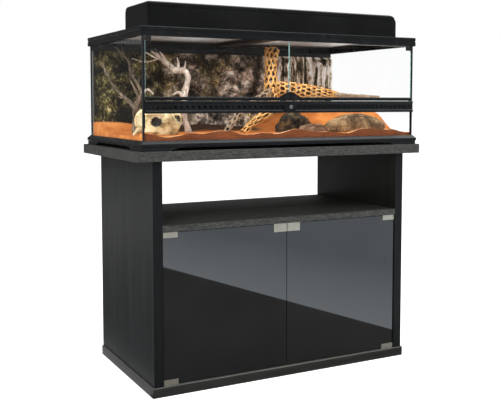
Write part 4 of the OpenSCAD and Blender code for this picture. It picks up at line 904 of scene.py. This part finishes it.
def glued_pane(node, glued):
    """A pane of the tank whose faces are silicone where it is glued."""
    axis, low, high = glued
    mesh = pane(node, SILICONE).data
    normal = Vector([float(i == axis) for i in range(3)])
    bm = bmesh.new()
    bm.from_mesh(mesh)
    for place in (low, high):
        bmesh.ops.bisect_plane(bm, geom=bm.verts[:] + bm.edges[:] + bm.faces[:], dist=1e-7,
                               plane_co=normal * place, plane_no=normal)
    bm.to_mesh(mesh)
    bm.free()
    for p in mesh.polygons:
        p.material_index = int(not low < p.center[axis] < high)


def door_pane(node, body):
    """A door's pane with its upright edges ground."""
    for p in pane(node, GLASS_EDGE, body).data.polygons:
        p.material_index = int(abs(p.normal[X]) > 0.9)


glued_pane("glass_left", GLUED_SIDES)
glued_pane("glass_right", GLUED_SIDES)
glued_pane("glass_back", GLUED_TOP)
door_pane("terrarium_door_left", "door_left")
door_pane("terrarium_door_right", "door_right")

# ------------------------------------------------------------------ stage


def seeing_rays(tree):
    """1 for rays of the camera, of gloss and through glass; 0 for rays that only carry light."""
    path = tree.nodes.new("ShaderNodeLightPath")
    seen = path.outputs["Is Camera Ray"]
    for kind in ("Is Glossy Ray", "Is Transmission Ray"):
        n = tree.nodes.new("ShaderNodeMath")
        n.operation = "MAXIMUM"
        tree.links.new(seen, n.inputs[0])
        tree.links.new(path.outputs[kind], n.inputs[1])
        seen = n.outputs[0]
    return seen


def stage_object(name, corners, mat):
    """One face that isn't part of the object."""
    mesh = bpy.data.meshes.new(name)
    mesh.from_pydata(corners, [], [tuple(range(len(corners)))])
    mesh.materials.append(mat)
    o = bpy.data.objects.new(name, mesh)
    bpy.context.collection.objects.link(o)
    return o


def floor_material():
    """White floor: a plain diffuse surface with light of its own for the rays that see it."""
    glow_strength = 0.72
    m = Nodes("stage_white")
    m.set(Base_Color=rgba((0.86, 0.86, 0.86)), Roughness=0.9, Specular_IOR_Level=0.0)
    glow = m.nt.nodes.new("ShaderNodeEmission")
    m.link(m.math("MULTIPLY", seeing_rays(m.nt), glow_strength), glow.inputs["Strength"])
    add = m.nt.nodes.new("ShaderNodeAddShader")
    m.link(m.bsdf.outputs[0], add.inputs[0])
    m.link(glow.outputs[0], add.inputs[1])
    m.link(add.outputs[0], m.out.inputs["Surface"])
    return m.mat


def make_world():
    """White world, at half strength for the rays that only carry light."""
    light_strength, seen_extra = 0.5, 0.5
    world = bpy.data.worlds.new("studio")
    bpy.context.scene.world = world
    world.use_nodes = True
    nt = world.node_tree
    nt.nodes.clear()
    out = nt.nodes.new("ShaderNodeOutputWorld")
    back = nt.nodes.new("ShaderNodeBackground")
    back.inputs["Color"].default_value = (1, 1, 1, 1)
    strength = nt.nodes.new("ShaderNodeMath")
    strength.operation = "MULTIPLY_ADD"
    nt.links.new(seeing_rays(nt), strength.inputs[0])
    strength.inputs[1].default_value = seen_extra
    strength.inputs[2].default_value = light_strength
    nt.links.new(strength.outputs[0], back.inputs["Strength"])
    nt.links.new(back.outputs[0], out.inputs["Surface"])


def area(name, place, aim, size, power, size_y=None):
    """Rectangular lamp at a place, aimed at a point."""
    lamp = bpy.data.lights.new(name, "AREA")
    lamp.energy = power
    lamp.shape = "RECTANGLE"
    lamp.size = size
    lamp.size_y = size_y or size
    o = bpy.data.objects.new(name, lamp)
    bpy.context.collection.objects.link(o)
    o.location = place
    o.rotation_mode = "QUATERNION"
    o.rotation_quaternion = (Vector(aim) - Vector(place)).to_track_quat("-Z", "Y")
    return o


def slanting(m):
    """Light of the card in front: none up to a slanting edge, then bluish and fading away from it."""
    edge_x, edge_slope = 0.6733, 0.2209
    edge = m.math("ADD", m.math("MULTIPLY", m.axis("Y"), edge_slope), edge_x)
    past = m.math("SUBTRACT", m.axis("X"), edge)
    tone = m.ramp(past, (0.0, (0.0, 0.0, 0.0)), (0.002, (1.18, 1.30, 1.39)), (0.9, (0.60, 0.69, 0.78)))
    m.set(Emission_Strength=1.0, Emission_Color=tone)


def softbox(m):
    """Broad soft light above, which edges and slopes mirror."""
    tone = m.noise(1.5, 2, 0.5)
    m.set(Emission_Strength=4.5, Emission_Color=m.grey(tone, (0.3, 0.92), (0.7, 1.0)))


def level(x0, x1, y0, y1, z):
    """Corners of a level card."""
    return [(x0, y0, z), (x1, y0, z), (x1, y1, z), (x0, y1, z)]


def upright(x0, x1, y, z0, z1):
    """Corners of an upright card that faces the front."""
    return [(x0, y, z0), (x1, y, z0), (x1, y, z1), (x0, y, z1)]


def card(name, corners, shine=None, behind_glass=False):
    """Card of the studio, out of the camera's sight, that changes what glass and plastic mirror."""
    m = Nodes(name)
    m.set(Base_Color=m.grey(m.noise(3, 2, 0.5), (0.3, 0.05), (0.7, 0.07)), Roughness=0.9)
    if shine:
        shine(m)
    o = stage_object(name, corners, m.mat)
    o.visible_camera = o.visible_diffuse = o.visible_shadow = o.visible_volume_scatter = False
    o.visible_transmission = behind_glass


def make_studio():
    """Floor, world, cards and lamps."""
    floor_half, on_floor = 30, 0.002
    stage_object("floor", level(-floor_half, floor_half, -floor_half, floor_half, 0), floor_material())
    make_world()
    card("floor_card_front", level(-1.6, 5.0, -3.2, -0.2, on_floor), slanting)
    card("floor_card_left", level(-2.2, -0.46, -0.2, 2.2, on_floor))
    card("card_front", upright(0.0, 4.0, -3.0, 0.3, 2.2))
    card("card_left", upright(-1.7, -0.6, 1.9, 0.3, 1.12), behind_glass=True)
    card("card_left_high", upright(-2.6, -0.5, 1.9, 1.12, 2.2))
    card("card_behind", upright(-0.5, 3.6, 2.4, 0.3, 2.2))
    card("softbox_card", level(-0.9, 2.6, -1.1, 0.7, 2.9), softbox)
    area("key", (-2.6, -2.6, 2.6), (0, 0, 0.7), 2.0, 95)
    fill = area("fill", (2.4, -2.6, 1.6), (0, 0, 0.6), 2.0, 45)
    fill.visible_glossy = fill.visible_transmission = False
    area("top", (0.6, -0.1, 3.0), (0.3, 0, 0.6), 3.4, 52, 2.0)
    glow = area("canopy_light", (0.026, -0.062, 0.966), (0.026, -0.062, 0.7), 0.74, 1.1, 0.12)
    glow.visible_camera = glow.visible_glossy = glow.visible_transmission = False


def make_camera():
    """Camera fitted to the edges of the terrarium in the photo."""
    yaw, pitch = math.radians(27.67), math.radians(4.0)
    cam = bpy.data.cameras.new("camera")
    cam.sensor_width = 36
    cam.lens = 58.65
    cam.shift_y = -0.081
    cam.clip_start = 0.05
    cam.clip_end = 100
    o = bpy.data.objects.new("camera", cam)
    bpy.context.collection.objects.link(o)
    o.location = (-1.1995, -2.2781, 0.8084)
    ahead = Vector((math.sin(yaw) * math.cos(pitch), math.cos(yaw) * math.cos(pitch), -math.sin(pitch)))
    o.rotation_mode = "QUATERNION"
    o.rotation_quaternion = ahead.to_track_quat("-Z", "Y")
    bpy.context.scene.camera = o


make_camera()
make_studio()
bpy.context.scene.view_settings.view_transform = "Standard"
